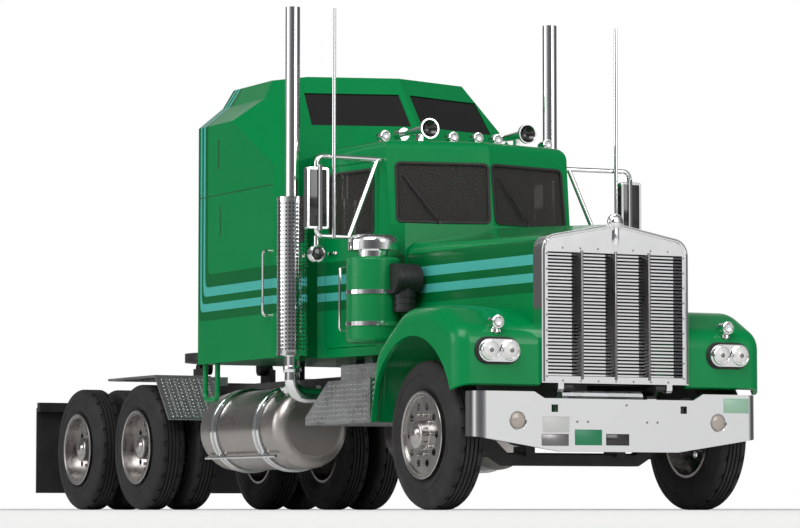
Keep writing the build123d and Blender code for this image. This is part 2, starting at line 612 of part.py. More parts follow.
# Walking beams under each rail, carried by a saddle at the middle of the tandem
BEAM_Z = TYRE_RADIUS - AXLE_TUBE_RADIUS - SEAT_GAP
BEAM_FRONT = -WHEELBASE + WALKING_BEAM_PAST
with BuildPart() as walking_beams:
    with BuildSketch(Plane.XZ.offset(-RAIL_OUTSIDE)):
        with BuildLine():
            Polyline((fx(TANDEM_MIDDLE), BEAM_Z - WALKING_BEAM_DEPTH),
                     (fx(BEAM_FRONT), BEAM_Z - WALKING_BEAM_END),
                     (fx(BEAM_FRONT), BEAM_Z), (fx(TANDEM_MIDDLE + SADDLE_HALF[0]), BEAM_Z),
                     (fx(TANDEM_MIDDLE + SADDLE_HALF[1]), RAIL_BOTTOM),
                     (fx(TANDEM_MIDDLE), RAIL_BOTTOM), close=True)
        make_face()
        mirror(about=Plane.YZ.offset(fx(TANDEM_MIDDLE)))
    extrude(amount=RAIL_WIDTH)
    mirror(about=Plane.XZ)
keep(walking_beams.part, "walking_beams")

# Fuel tanks, and straps with brackets to the rails
with BuildPart() as fuel_tanks:
    drum((fx(TANK_REAR), TANK_Y, TANK_Z), (1, 0, 0), TANK_RADIUS, TANK_FRONT - TANK_REAR)
    fillet(fuel_tanks.edges().filter_by(GeomType.CIRCLE), radius=TANK_END_ROUND)
    mirror(about=Plane.XZ)
keep(fuel_tanks.part, "fuel_tanks")

with BuildPart() as tank_straps:
    for strap_x in STRAP_PLACES:
        start = (fx(strap_x - STRAP_WIDTH / 2), TANK_Y, TANK_Z)
        drum(start, (1, 0, 0), TANK_RADIUS + SEAT_GAP + STRAP_THICKNESS, STRAP_WIDTH)
        block((fx(strap_x - STRAP_WIDTH / 2), fx(strap_x + STRAP_WIDTH / 2)),
              (RAIL_OUTSIDE, TANK_Y - 9),
              (TANK_Z + 6.6, RAIL_TOP - 3))
    for strap_x in STRAP_PLACES:
        drum((fx(strap_x - STRAP_WIDTH), TANK_Y, TANK_Z), (1, 0, 0), TANK_RADIUS + SEAT_GAP,
             2 * STRAP_WIDTH,
             mode=Mode.SUBTRACT)
    mirror(about=Plane.XZ)
keep(tank_straps.part, "tank_straps")

# Step boxes under the cab doors
with BuildPart() as step_boxes:
    with BuildSketch(Plane.XZ.offset(-STEP_OUT)):
        with BuildLine():
            Polyline((fx(STEP_FRONT), STEP_BOTTOM), (fx(STEP_REAR), STEP_BOTTOM),
                     (fx(STEP_REAR), STEP_HEEL),
                     (fx(STEP_TREAD_REAR), STEP_TREAD), (fx(STEP_FRONT), STEP_TREAD), close=True)
        make_face()
    extrude(amount=STEP_OUT - RAIL_OUTSIDE)
    block((fx(STEP_TREAD_REAR), fx(STEP_FRONT)), (RAIL_OUTSIDE, STEP_UPPER_OUT), (STEP_TREAD, STEP_TOP))
    mirror(about=Plane.XZ)
keep(step_boxes.part, "step_boxes")

# Exhaust: stacks with an elbow to the frame, and the guards round the mufflers
with BuildPart() as exhaust_stacks:
    tube(((fx(STACK_X), STACK_Y, STACK_TOP), (fx(STACK_X), STACK_Y, STACK_ELBOW_Z),
          (fx(STACK_X), RAIL_OUTSIDE, STACK_ELBOW_Z)), STACK_ELBOW_BEND, STACK_RADIUS)
    drum((fx(STACK_X), STACK_Y, STACK_TOP - 12), (0, 0, 1), STACK_RADIUS * 0.82, 12, mode=Mode.SUBTRACT)
    mirror(about=Plane.XZ)
keep(exhaust_stacks.part, "exhaust_stacks")

CORNER_OUT = (1 / 2 ** 0.5, 1 / 2 ** 0.5, 0)
CORNER_DEPTH = (STACK_X - SLEEPER_FRONT + STACK_Y - SLEEPER_HALF + SLEEPER_CORNER) / 2 ** 0.5
with BuildPart() as muffler_guards:
    drum((fx(STACK_X), STACK_Y, GUARD_BOTTOM), (0, 0, 1), GUARD_RADIUS, GUARD_TOP - GUARD_BOTTOM)
    for stay_z in GUARD_STAYS:
        drum((fx(STACK_X), STACK_Y, stay_z), (-CORNER_OUT[0], -CORNER_OUT[1], 0), STAY_RADIUS,
             CORNER_DEPTH)
    drum((fx(STACK_X), STACK_Y, GUARD_BOTTOM + GUARD_WALL), (0, 0, 1), GUARD_RADIUS - GUARD_WALL,
         GUARD_TOP - GUARD_BOTTOM - 2 * GUARD_WALL, mode=Mode.SUBTRACT)
    drum((fx(STACK_X), STACK_Y, GUARD_BOTTOM - 1), (0, 0, 1), STACK_RADIUS + SEAT_GAP,
         GUARD_TOP - GUARD_BOTTOM + 2, mode=Mode.SUBTRACT)
    mirror(about=Plane.XZ)
keep(muffler_guards.part, "muffler_guards")

# Quarter fenders: a bent plate ahead of and over the first drive tyres
with BuildPart() as quarter_fenders:
    with BuildSketch(Plane.XZ.offset(-QUARTER_OUT)):
        with BuildLine():
            Polyline((fx(QUARTER_LOW[0]), QUARTER_LOW[1]), (fx(QUARTER_HIGH[0]), QUARTER_HIGH[1]),
                     (fx(QUARTER_BACK), QUARTER_HIGH[1]))
            offset(amount=QUARTER_THICK / 2, side=Side.BOTH)
        make_face()
    extrude(amount=QUARTER_OUT - QUARTER_IN)
    plate_bottom = QUARTER_HIGH[1] - QUARTER_THICK / 2
    block((fx(-WHEELBASE - QUARTER_STAY), fx(-WHEELBASE + QUARTER_STAY)), (RAIL_INSIDE, QUARTER_IN + 4),
          (plate_bottom, plate_bottom + QUARTER_THICK))
    block((fx(-WHEELBASE - QUARTER_STAY), fx(-WHEELBASE + QUARTER_STAY)), (RAIL_INSIDE, RAIL_OUTSIDE),
          (RAIL_TOP, plate_bottom))
    mirror(about=Plane.XZ)
keep(quarter_fenders.part, "quarter_fenders")

# Rear bar across the rails' ends, and the flaps that hang from it
with BuildPart() as rear_bar:
    block((fx(FLAP_BACK + FLAP_THICK), fx(RAIL_REAR)), (-FLAP_OUT, FLAP_OUT),
          (FLAP_TOP - 1.5, FLAP_TOP + 2.0))
keep(rear_bar.part, "rear_bar")

with BuildPart() as mud_flaps:
    block((fx(FLAP_BACK), fx(FLAP_BACK + FLAP_THICK)), (FLAP_IN, FLAP_OUT), (FLAP_BOTTOM, FLAP_TOP))
    mirror(about=Plane.XZ)
keep(mud_flaps.part, "mud_flaps")

# Fifth wheel: a base on the frame with ears, and a rocking plate with a king pin bore
with BuildPart() as fifth_wheel_base:
    block((fx(FIFTH_X - 15), fx(FIFTH_X + 15)), (-RAIL_OUTSIDE, RAIL_OUTSIDE),
          (RAIL_TOP, RAIL_TOP + 1.6))
    for side in (-1, 1):
        inner = side * (FIFTH_EAR_Y + SIDE_PLAY)
        outer = side * (FIFTH_EAR_Y + SIDE_PLAY + FIFTH_EAR_WIDTH)
        block((fx(FIFTH_X - 4), fx(FIFTH_X + 4)), (inner, outer), (RAIL_TOP + 1.6, FIFTH_PIVOT_Z))
        drum((fx(FIFTH_X), inner, FIFTH_PIVOT_Z), (0, side, 0), 1.9, FIFTH_EAR_WIDTH)
        drum((fx(FIFTH_X), inner, FIFTH_PIVOT_Z), (0, side, 0), FIFTH_PIVOT_RADIUS + RUNNING_FIT,
             FIFTH_EAR_WIDTH, mode=Mode.SUBTRACT)
keep(fifth_wheel_base.part, "fifth_wheel_base")

with BuildPart() as fifth_wheel_plate:
    with BuildSketch(Plane.XY.offset(FIFTH_TOP - FIFTH_THICK)):
        with Locations((fx(FIFTH_X), 0)):
            Circle(FIFTH_RADIUS)
        with BuildLine():
            Polyline((fx(FIFTH_X - FIFTH_RADIUS - 6), FIFTH_THROAT),
                     (fx(FIFTH_X - FIFTH_JAW), KING_PIN_BORE),
                     (fx(FIFTH_X - FIFTH_JAW), -KING_PIN_BORE),
                     (fx(FIFTH_X - FIFTH_RADIUS - 6), -FIFTH_THROAT),
                     close=True)
        make_face(mode=Mode.SUBTRACT)
        with Locations((fx(FIFTH_X), 0)):
            Circle(KING_PIN_BORE, mode=Mode.SUBTRACT)
    extrude(amount=FIFTH_THICK)
    for side in (-1, 1):
        inner = side * (FIFTH_EAR_Y - FIFTH_EAR_WIDTH)
        outer = side * FIFTH_EAR_Y
        block((fx(FIFTH_X - 2.2), fx(FIFTH_X + 2.2)), (inner, outer),
              (FIFTH_PIVOT_Z, FIFTH_TOP - FIFTH_THICK))
        drum((fx(FIFTH_X), inner, FIFTH_PIVOT_Z), (0, side, 0), 2.2, FIFTH_EAR_WIDTH)
        drum((fx(FIFTH_X), inner, FIFTH_PIVOT_Z), (0, side, 0), FIFTH_PIVOT_RADIUS,
             2 * FIFTH_EAR_WIDTH + SIDE_PLAY)
keep(fifth_wheel_plate.part, "fifth_wheel_plate")


def cab_form(inset):
    """The cab's outer form, or the space inside its walls."""
    with BuildPart() as form:
        with BuildSketch(Plane.XY.offset(CAB_BOTTOM + inset)):
            with BuildLine():
                Polyline((fx(CAB_FRONT), CAB_FRONT_HALF), (fx(CAB_SHOULDER_X), CAB_SHOULDER_HALF),
                         (fx(CAB_REAR), CAB_REAR_HALF), (fx(CAB_REAR), -CAB_REAR_HALF),
                         (fx(CAB_SHOULDER_X), -CAB_SHOULDER_HALF), (fx(CAB_FRONT), -CAB_FRONT_HALF),
                         close=True)
            make_face()
            if inset:
                offset(amount=-inset, kind=Kind.INTERSECTION, mode=Mode.REPLACE)
        extrude(amount=COWL_TOP - CAB_BOTTOM - 2 * inset)
        with BuildSketch(Plane.XY.offset(CAB_BOTTOM + inset)):
            with BuildLine():
                Polyline((fx(CAB_NOSE), side_at(CAB_NOSE)), (fx(CAB_REAR), CAB_REAR_HALF),
                         (fx(CAB_REAR), -CAB_REAR_HALF), (fx(CAB_NOSE), -side_at(CAB_NOSE)), close=True)
            make_face()
            if inset:
                offset(amount=-inset, kind=Kind.INTERSECTION, mode=Mode.REPLACE)
        with BuildPart(mode=Mode.PRIVATE) as upper:
            extrude(form.pending_faces[0], amount=ROOF_TOP - CAB_BOTTOM - 2 * inset)
            for side in (-1, 1):
                split(bisect_by=pane_plane(side).offset(-inset), keep=Keep.BOTTOM)
            split(bisect_by=Plane.YZ.offset(fx(CAB_FRONT) - inset), keep=Keep.BOTTOM)
            fillet(upper.faces().sort_by(Axis.Z)[-1].edges(), radius=ROOF_ROUND - inset)
        form.pending_faces.clear()
        add(upper.part)
    return form.part


def side_at(x):
    """Half-width of the cab's side wall at a place along the truck."""
    slope = (CAB_REAR_HALF - CAB_SHOULDER_HALF) / (CAB_SHOULDER_X - CAB_REAR)
    return CAB_SHOULDER_HALF + slope * (CAB_SHOULDER_X - x)


def side_plane(ahead, z, side):
    """Plane on the outside of the cab's wall: X runs rearwards along it, Y up it, Z out of it."""
    slope = (CAB_REAR_HALF - CAB_SHOULDER_HALF) / (CAB_SHOULDER_X - CAB_REAR)
    along = Vector(-1, side * slope, 0).normalized()
    out = Vector(slope, side, 0).normalized()
    return Plane(origin=(fx(ahead), side * side_at(ahead), z), x_dir=along * side, z_dir=out)


def pane_plane(side):
    """Plane on the outside of a windshield pane, at the pane's middle."""
    across = Vector(WINDSHIELD_SIDE_X - WINDSHIELD_TIP, WINDSHIELD_SIDE_HALF * side, 0).normalized()
    out = across.cross(Vector(-WINDSHIELD_RAKE, 0, 1)).normalized() * side
    middle = Vector(fx(WINDSHIELD_TIP), 0,
                    (PANE_BOTTOM + PANE_TOP) / 2) + across * (PANE_DIVIDER + PANE_WIDTH / 2)
    return Plane(origin=middle, x_dir=across * side, z_dir=out)


def pane(plane, width, height, corner, start, depth, mode=Mode.ADD):
    """A rounded rectangle on a plane, extruded from a height above it down by a depth."""
    with BuildSketch(plane.offset(start)) as outline:
        RectangleRounded(width, height, corner)
    extrude(outline.sketch, amount=-depth, mode=mode)


CAB_NOSE = WINDSHIELD_TIP + 2 * CAB_WALL + 4
PANE_WIDTH = hypot(WINDSHIELD_SIDE_X - WINDSHIELD_TIP, WINDSHIELD_SIDE_HALF) - PANE_DIVIDER - PANE_SIDE
DOOR_MIDDLE = (DOOR_FRONT + DOOR_REAR) / 2
DOOR_WIDTH = hypot(DOOR_FRONT - DOOR_REAR, side_at(DOOR_REAR) - side_at(DOOR_FRONT))
DOOR_HEIGHT = DOOR_TOP - DOOR_BOTTOM
DOOR_MIDDLE_Z = (DOOR_TOP + DOOR_BOTTOM) / 2
WINDOW_HEIGHT = DOOR_TOP - DOOR_WINDOW_MARGIN - DOOR_WINDOW_BOTTOM
WINDOW_MIDDLE_Z = DOOR_WINDOW_BOTTOM + WINDOW_HEIGHT / 2
WINDOW_WIDTH = DOOR_WIDTH - 2 * DOOR_WINDOW_MARGIN


def hinge_frame(z, side):
    """Frame on the wall at the door's front seam: X along the wall, Y up it, Z out of it."""
    return side_plane(DOOR_FRONT - DOOR_SEAM / 2, z, side)


def leaf(frame, along, z, height):
    """A hinge leaf on the wall, from just beside the seam, with its barrel."""
    low, high = sorted((along * DOOR_SEAM, along * HINGE_LEAF))
    with Locations(frame.location * Location(((low + high) / 2, z, HINGE_OUT / 2 - GLASS_SET_IN / 2))):
        Box(high - low, height, HINGE_OUT + GLASS_SET_IN)
    with Locations(frame.location * Location((0, z, HINGE_OUT), (90, 0, 0))):
        Cylinder(HINGE_BARREL, height)


def cab_hinges(side):
    """The cab's leaves and the pins that the doors turn on."""
    for hinge_z in HINGE_PLACES:
        frame = hinge_frame(hinge_z, side)
        reach = HINGE_MIDDLE / 2 + HINGE_GAP + HINGE_END / 2
        for end in (-reach, reach):
            leaf(frame, -side, end, HINGE_END)
        with Locations(frame.location * Location((0, 0, HINGE_OUT), (90, 0, 0))):
            Cylinder(HINGE_PIN, 2 * reach)


def door_hinges(side):
    """The door's leaves, with barrels bored for the pins."""
    for hinge_z in HINGE_PLACES:
        frame = hinge_frame(hinge_z, side)
        leaf(frame, side, 0, HINGE_MIDDLE)
        with Locations(frame.location * Location((0, 0, HINGE_OUT), (90, 0, 0))):
            Cylinder(HINGE_PIN + RUNNING_FIT, 2 * HINGE_MIDDLE, mode=Mode.SUBTRACT)


# Cab shell: walls, roof and floor, with the windshield, doors and crawl way cut
with BuildPart() as cab_body:
    add(cab_form(0))
    add(cab_form(CAB_WALL), mode=Mode.SUBTRACT)
    for name, side in SIDES:
        pane(pane_plane(side), PANE_WIDTH, PANE_TOP - PANE_BOTTOM, PANE_CORNER, 2, 4,
             mode=Mode.SUBTRACT)
        pane(side_plane(DOOR_MIDDLE, DOOR_MIDDLE_Z, side), DOOR_WIDTH, DOOR_HEIGHT, DOOR_CORNER, 1, 4,
             mode=Mode.SUBTRACT)
        cab_hinges(side)
    block((fx(CAB_REAR - 1), fx(CAB_REAR + 2 * CAB_WALL)), (-CRAWL_HALF, CRAWL_HALF),
          (CRAWL_BOTTOM, CRAWL_TOP), mode=Mode.SUBTRACT)
keep(cab_body.part, "cab_body")

with BuildPart() as windshield:
    for name, side in SIDES:
        pane(pane_plane(side), PANE_WIDTH, PANE_TOP - PANE_BOTTOM, PANE_CORNER, -GLASS_SET_IN, GLASS)
keep(windshield.part, "windshield")

# Doors: the piece of wall inside each seam, with a window and a pull handle
for name, side in SIDES:
    with BuildPart() as door:
        pane(side_plane(DOOR_MIDDLE, DOOR_MIDDLE_Z, side), DOOR_WIDTH - 2 * DOOR_SEAM,
             DOOR_HEIGHT - 2 * DOOR_SEAM, DOOR_CORNER - DOOR_SEAM, 0, CAB_WALL)
        door_hinges(side)
        pane(side_plane(DOOR_MIDDLE, WINDOW_MIDDLE_Z, side), WINDOW_WIDTH, WINDOW_HEIGHT, 1.6, 1,
             CAB_WALL + 2, mode=Mode.SUBTRACT)
    keep(door.part, f"door_{name}")
    with BuildPart() as door_glass:
        pane(side_plane(DOOR_MIDDLE, WINDOW_MIDDLE_Z, side), WINDOW_WIDTH, WINDOW_HEIGHT, 1.6,
             -GLASS_SET_IN, GLASS)
    keep(door_glass.part, f"door_glass_{name}")

# Seats and dashboard behind the glass
FLOOR_TOP = CAB_BOTTOM + CAB_WALL
with BuildPart() as seats:
    for reach, height in (CUSHION, BACKREST):
        block((fx(reach[0]), fx(reach[1])), SEAT_SIDES, (FLOOR_TOP + height[0], FLOOR_TOP + height[1]))
    mirror(about=Plane.XZ)
keep(seats.part, "seats")

with BuildPart() as dashboard:
    block((fx(CAB_FRONT - CAB_WALL), fx(DASH_BACK)), (-DASH_HALF, DASH_HALF), DASH_HEIGHT)
    tube(((fx(COLUMN_FOOT[0]), COLUMN_Y, COLUMN_FOOT[1]), (fx(COLUMN_TOP[0]), COLUMN_Y, COLUMN_TOP[1])),
         0, COLUMN_RADIUS)
    with Locations(Plane(origin=(fx(COLUMN_TOP[0]), COLUMN_Y, COLUMN_TOP[1]),
                         z_dir=(-11, 0, 6)).location):
        Torus(STEERING_WHEEL_RADIUS, STEERING_WHEEL_RIM)
        spoke_width, spoke_thick = STEERING_WHEEL_SPOKE
        Box(2 * STEERING_WHEEL_RADIUS, spoke_width, spoke_thick)
        Box(spoke_width, 2 * STEERING_WHEEL_RADIUS, spoke_thick)
keep(dashboard.part, "dashboard")


def sleeper_form(inset):
    """The sleeper's outer form, or the space inside its walls."""
    with BuildPart() as form:
        with BuildSketch(Plane.YZ.offset(fx(SLEEPER_REAR) + inset)):
            with BuildLine():
                Polyline((-SLEEPER_HALF, SLEEPER_BOTTOM), (SLEEPER_HALF, SLEEPER_BOTTOM),
                         (SLEEPER_HALF, SLEEPER_SIDE_TOP), SLEEPER_KNEE,
                         (SLEEPER_TOP_HALF, SLEEPER_TOP),
                         (-SLEEPER_TOP_HALF, SLEEPER_TOP), (-SLEEPER_KNEE[0], SLEEPER_KNEE[1]),
                         (-SLEEPER_HALF, SLEEPER_SIDE_TOP), close=True)
            make_face()
            if inset:
                offset(amount=-inset, kind=Kind.INTERSECTION, mode=Mode.REPLACE)
        extrude(amount=BROW_TIP + 12 - SLEEPER_REAR)
        block((fx(SLEEPER_FRONT) - inset, fx(BROW_TIP + 20)), (-SLEEPER_HALF - 1, SLEEPER_HALF + 1),
              (SLEEPER_BOTTOM - 1, BROW_BOTTOM + inset), mode=Mode.SUBTRACT)
        for side in (-1, 1):
            corner = Vector(1, side, 0).normalized()
            split(bisect_by=Plane(origin=Vector(fx(SLEEPER_FRONT),
                                                side * (SLEEPER_HALF - SLEEPER_CORNER), 0)
                                  - corner * inset, z_dir=corner), keep=Keep.BOTTOM)
            front = Vector(1, side * BROW_SWEEP, BROW_RAKE).normalized()
            split(bisect_by=Plane(origin=Vector(fx(BROW_TIP), 0, BROW_HEIGHT) - front * inset,
                                  z_dir=front),
                  keep=Keep.BOTTOM)
            low = Vector(fx(FLANK_BOTTOM[0]), side * SLEEPER_HALF, FLANK_BOTTOM[1])
            high = Vector(fx(FLANK_TOP[0]), side * SLEEPER_HALF, FLANK_TOP[1])
            inner = Vector(fx(FLANK_IN[0]), side * FLANK_IN[1], FLANK_IN[2])
            flank = (high - low).cross(inner - low).normalized()
            flank = flank if flank.Z > 0 else -flank
            split(bisect_by=Plane(origin=low - flank * inset, z_dir=flank), keep=Keep.BOTTOM)
    return form.part


def sky_window(side, grow):
    """Prism through the brow that cuts, or bounds, one roof window."""
    with BuildPart() as prism:
        with BuildSketch(Plane.YZ.offset(fx(BROW_TIP - 30))):
            with BuildLine():
                Polyline((side * SKY_WINDOW_PILLAR, SKY_WINDOW_BOTTOM),
                         (side * SKY_WINDOW_OUT, SKY_WINDOW_BOTTOM),
                         (side * (SKY_WINDOW_OUT - SKY_WINDOW_LEAN), SKY_WINDOW_TOP),
                         (side * SKY_WINDOW_PILLAR, SKY_WINDOW_TOP), close=True)
            make_face()
            if grow:
                offset(amount=grow, kind=Kind.INTERSECTION, mode=Mode.REPLACE)
        extrude(amount=45)
    return prism.part


# Sleeper shell with the raised roof, its windows and the crawl way
with BuildPart() as sleeper_body:
    add(sleeper_form(0))
    add(sleeper_form(SLEEPER_WALL), mode=Mode.SUBTRACT)
    for side in (-1, 1):
        add(sky_window(side, 0), mode=Mode.SUBTRACT)
    block((fx(SLEEPER_FRONT - 2 * SLEEPER_WALL), fx(SLEEPER_FRONT + 1)), (-CRAWL_HALF, CRAWL_HALF),
          (CRAWL_BOTTOM, CRAWL_TOP), mode=Mode.SUBTRACT)
keep(sleeper_body.part, "sleeper_body")

with BuildPart() as sleeper_windows:
    add(sleeper_form(GLASS_SET_IN))
    add(sleeper_form(GLASS_SET_IN + GLASS), mode=Mode.SUBTRACT)
    with BuildPart(mode=Mode.PRIVATE) as panes:
        for side in (-1, 1):
            add(sky_window(side, 0))
    add(panes.part, mode=Mode.INTERSECT)
keep(sleeper_windows.part, "sleeper_windows")

# Rubber boot round the crawl way
with BuildPart() as sleeper_boot:
    block((fx(SLEEPER_FRONT), fx(CAB_REAR)), (-CRAWL_HALF - BOOT_WALL, CRAWL_HALF + BOOT_WALL),
          (CRAWL_BOTTOM - BOOT_WALL, CRAWL_TOP + BOOT_WALL))
    block((fx(SLEEPER_FRONT), fx(CAB_REAR)), (-CRAWL_HALF, CRAWL_HALF), (CRAWL_BOTTOM, CRAWL_TOP),
          mode=Mode.SUBTRACT)
keep(sleeper_boot.part, "sleeper_boot")

# Step loops under the sleeper's rear corners
with BuildPart() as step_loops:
    tube(((fx(LOOP_REAR), LOOP_Y, SLEEPER_BOTTOM), (fx(LOOP_REAR), LOOP_Y, LOOP_BOTTOM),
          (fx(LOOP_FRONT), LOOP_Y, LOOP_BOTTOM), (fx(LOOP_FRONT), LOOP_Y, SLEEPER_BOTTOM)), LOOP_BEND,
          LOOP_RADIUS)
    mirror(about=Plane.XZ)
keep(step_loops.part, "step_loops")

# Air cleaners beside the cowl, their chrome caps and bands, and the intake elbows
with BuildPart() as air_cleaners:
    drum((fx(CLEANER_X), CLEANER_Y, CLEANER_BOTTOM), (0, 0, 1), CLEANER_RADIUS,
         CLEANER_TOP - CLEANER_BOTTOM)
    fillet(air_cleaners.edges().filter_by(GeomType.CIRCLE), radius=1.2)
    block((fx(CLEANER_X - 3), fx(CLEANER_X + 3)), (CAB_FRONT_HALF + 1.0, CLEANER_Y), (60, 72))
    mirror(about=Plane.XZ)
    add(cab_form(0), mode=Mode.SUBTRACT)
keep(air_cleaners.part, "air_cleaners")

with BuildPart() as air_cleaner_caps:
    drum((fx(CLEANER_X), CLEANER_Y, CLEANER_TOP), (0, 0, 1), CLEANER_NECK_RADIUS, 3.0)
    drum((fx(CLEANER_X), CLEANER_Y, CLEANER_TOP + 2.2), (0, 0, 1), CLEANER_CAP_RADIUS,
         CLEANER_CAP_TOP - CLEANER_TOP - 2.2)
    fillet(air_cleaner_caps.edges().group_by(Axis.Z)[-1], radius=2.4)
    for band_z in BAND_PLACES:
        drum((fx(CLEANER_X), CLEANER_Y, band_z), (0, 0, 1), CLEANER_RADIUS + BAND_THICK, BAND_HEIGHT)
        drum((fx(CLEANER_X), CLEANER_Y, band_z), (0, 0, 1), CLEANER_RADIUS + SEAT_GAP / 2, BAND_HEIGHT,
             mode=Mode.SUBTRACT)
    block((fx(CLEANER_X - 3.2), fx(CLEANER_X + 3.2)), (CAB_FRONT_HALF, CLEANER_Y - CLEANER_RADIUS + 1),
          (CLEANER_BOTTOM, CLEANER_TOP), mode=Mode.SUBTRACT)
    mirror(about=Plane.XZ)
    add(cab_form(0), mode=Mode.SUBTRACT)
keep(air_cleaner_caps.part, "air_cleaner_caps")

HOOD_TAPER = (HOOD_REAR_HALF - GRILLE_HALF) / (GRILLE_FACE - GRILLE_DEPTH - HOOD_REAR)
INTAKE_X = CLEANER_X + CLEANER_RADIUS + 1.2
INTAKE_IN = HOOD_REAR_HALF - HOOD_TAPER * (INTAKE_X - HOOD_REAR) + INTAKE_GAP
with BuildPart() as air_intakes:
    drum((fx(INTAKE_X), INTAKE_IN + 0.6, INTAKE_Z), (0, 1, 0), INTAKE_RADIUS, CLEANER_Y - INTAKE_IN - 2)
    drum((fx(INTAKE_X), CLEANER_Y - INTAKE_RADIUS - 1.4, INTAKE_NECK_BOTTOM), (0, 0, 1),
         INTAKE_NECK_RADIUS,
         INTAKE_Z - INTAKE_NECK_BOTTOM)
    drum((fx(CLEANER_X), CLEANER_Y, CLEANER_BOTTOM - 1), (0, 0, 1),
         CLEANER_RADIUS + BAND_THICK + SEAT_GAP,
         CLEANER_CAP_TOP - CLEANER_BOTTOM, mode=Mode.SUBTRACT)
    mirror(about=Plane.XZ)
keep(air_intakes.part, "air_intakes")

# Mirrors on their tube brackets, with the aerials
PILLAR_FOOT = side_at(MIRROR_X - 1.6) + 0.2
with BuildPart() as mirrors:
    tube(((fx(MIRROR_X - 1.6), PILLAR_FOOT, MIRROR_TOP), (fx(MIRROR_X), MIRROR_OUT, MIRROR_TOP),
          (fx(MIRROR_X), MIRROR_OUT, MIRROR_LOW), (fx(MIRROR_X), MIRROR_LOW_IN, MIRROR_LOW)), 2.2,
          MIRROR_TUBE)
    tube(((fx(MIRROR_X), MIRROR_LOW_IN, MIRROR_LOW),
          (fx(MIRROR_X - 1.5), PILLAR_FOOT + 1.4, MIRROR_TOP)), 0, MIRROR_TUBE)
    with Locations((fx(MIRROR_X), MIRROR_OUT, MIRROR_HEAD_Z)):
        Box(*MIRROR_HEAD)
    drum((fx(MIRROR_X), MIRROR_OUT, SPOT_MIRROR_Z), (0, 0, 1), MIRROR_TUBE, MIRROR_LOW - SPOT_MIRROR_Z)
    drum((fx(MIRROR_X - 1), MIRROR_OUT, SPOT_MIRROR_Z), (1, 0, 0), SPOT_MIRROR_RADIUS, 2)
    drum((fx(MIRROR_X + 1.0), AERIAL_Y, MIRROR_LOW - 0.6), (0, 0, 1), AERIAL_RADIUS,
         AERIAL_TOP - MIRROR_LOW + 0.6)
    mirror(about=Plane.XZ)
keep(mirrors.part, "mirrors")

# Roof horns and marker lamps
with BuildPart() as air_horns:
    with BuildSketch(Plane(origin=(fx(HORN_X), HORN_Y, HORN_Z), x_dir=(-1, 0, 0), z_dir=(0, -1, 0))):
        with BuildLine():
            Polyline((3.4, 0), (0, HORN_BELL - 0.4), (0, HORN_BELL), (1.0, HORN_BELL), (4.0, 1.5),
                     (HORN_LENGTH - 4, 0.9),
                     (HORN_LENGTH - 4, 1.9), (HORN_LENGTH, 1.9), (HORN_LENGTH, 0), close=True)
        make_face()
    revolve(axis=Axis((fx(HORN_X), HORN_Y, HORN_Z), (1, 0, 0)))
    block((fx(HORN_X - 8.5), fx(HORN_X - 6.5)), (HORN_Y - 0.8, HORN_Y + 0.8), (ROOF_TOP, HORN_Z))
    block((fx(HORN_X - 20.5), fx(HORN_X - 18.5)), (HORN_Y - 0.8, HORN_Y + 0.8), (ROOF_TOP, HORN_Z))
    mirror(about=Plane.XZ)
keep(air_horns.part, "air_horns")

with BuildPart() as marker_lamps:
    for lamp_x, lamp_y in MARKER_PLACES:
        drum((fx(lamp_x), lamp_y, ROOF_TOP + MARKER_RADIUS + MARKER_GAP), (-1, 0, 0), MARKER_RADIUS,
             MARKER_LENGTH)
    rims = marker_lamps.edges().filter_by(GeomType.CIRCLE)
    tails = [fx(lamp_x - MARKER_LENGTH) for lamp_x, lamp_y in MARKER_PLACES]
    fillet([rim for rim in rims if any(abs(rim.center().X - tail) < SEAT_GAP for tail in tails)],
           radius=MARKER_ROUND)
    for lamp_x, lamp_y in MARKER_PLACES:
        block((fx(lamp_x - MARKER_LENGTH + MARKER_ROUND), fx(lamp_x - 1)),
              (lamp_y - MARKER_FOOT, lamp_y + MARKER_FOOT),
              (ROOF_TOP, ROOF_TOP + MARKER_RADIUS))
keep(marker_lamps.part, "marker_lamps")


def hood_form(inset):
    """Hood between the grille shell and the cowl, or the space under it."""
    with BuildPart() as form:
        for x, half, shoulder, peak in ((GRILLE_FACE - GRILLE_DEPTH, GRILLE_HALF, GRILLE_SHOULDER,
                                         GRILLE_PEAK),
                                        (HOOD_REAR, HOOD_REAR_HALF, HOOD_REAR_SHOULDER,
                                         HOOD_REAR_PEAK)):
            with BuildSketch(Plane.YZ.offset(fx(x))) as section:
                with BuildLine():
                    Polyline((-half + inset, GRILLE_BOTTOM), (half - inset, GRILLE_BOTTOM),
                             (half - inset, shoulder - inset), (0, peak - inset),
                             (-half + inset, shoulder - inset),
                             close=True)
                make_face()
                fillet(section.vertices().group_by(Axis.Y)[1], radius=HOOD_CORNER - inset)
        loft(ruled=True)
    return form.part


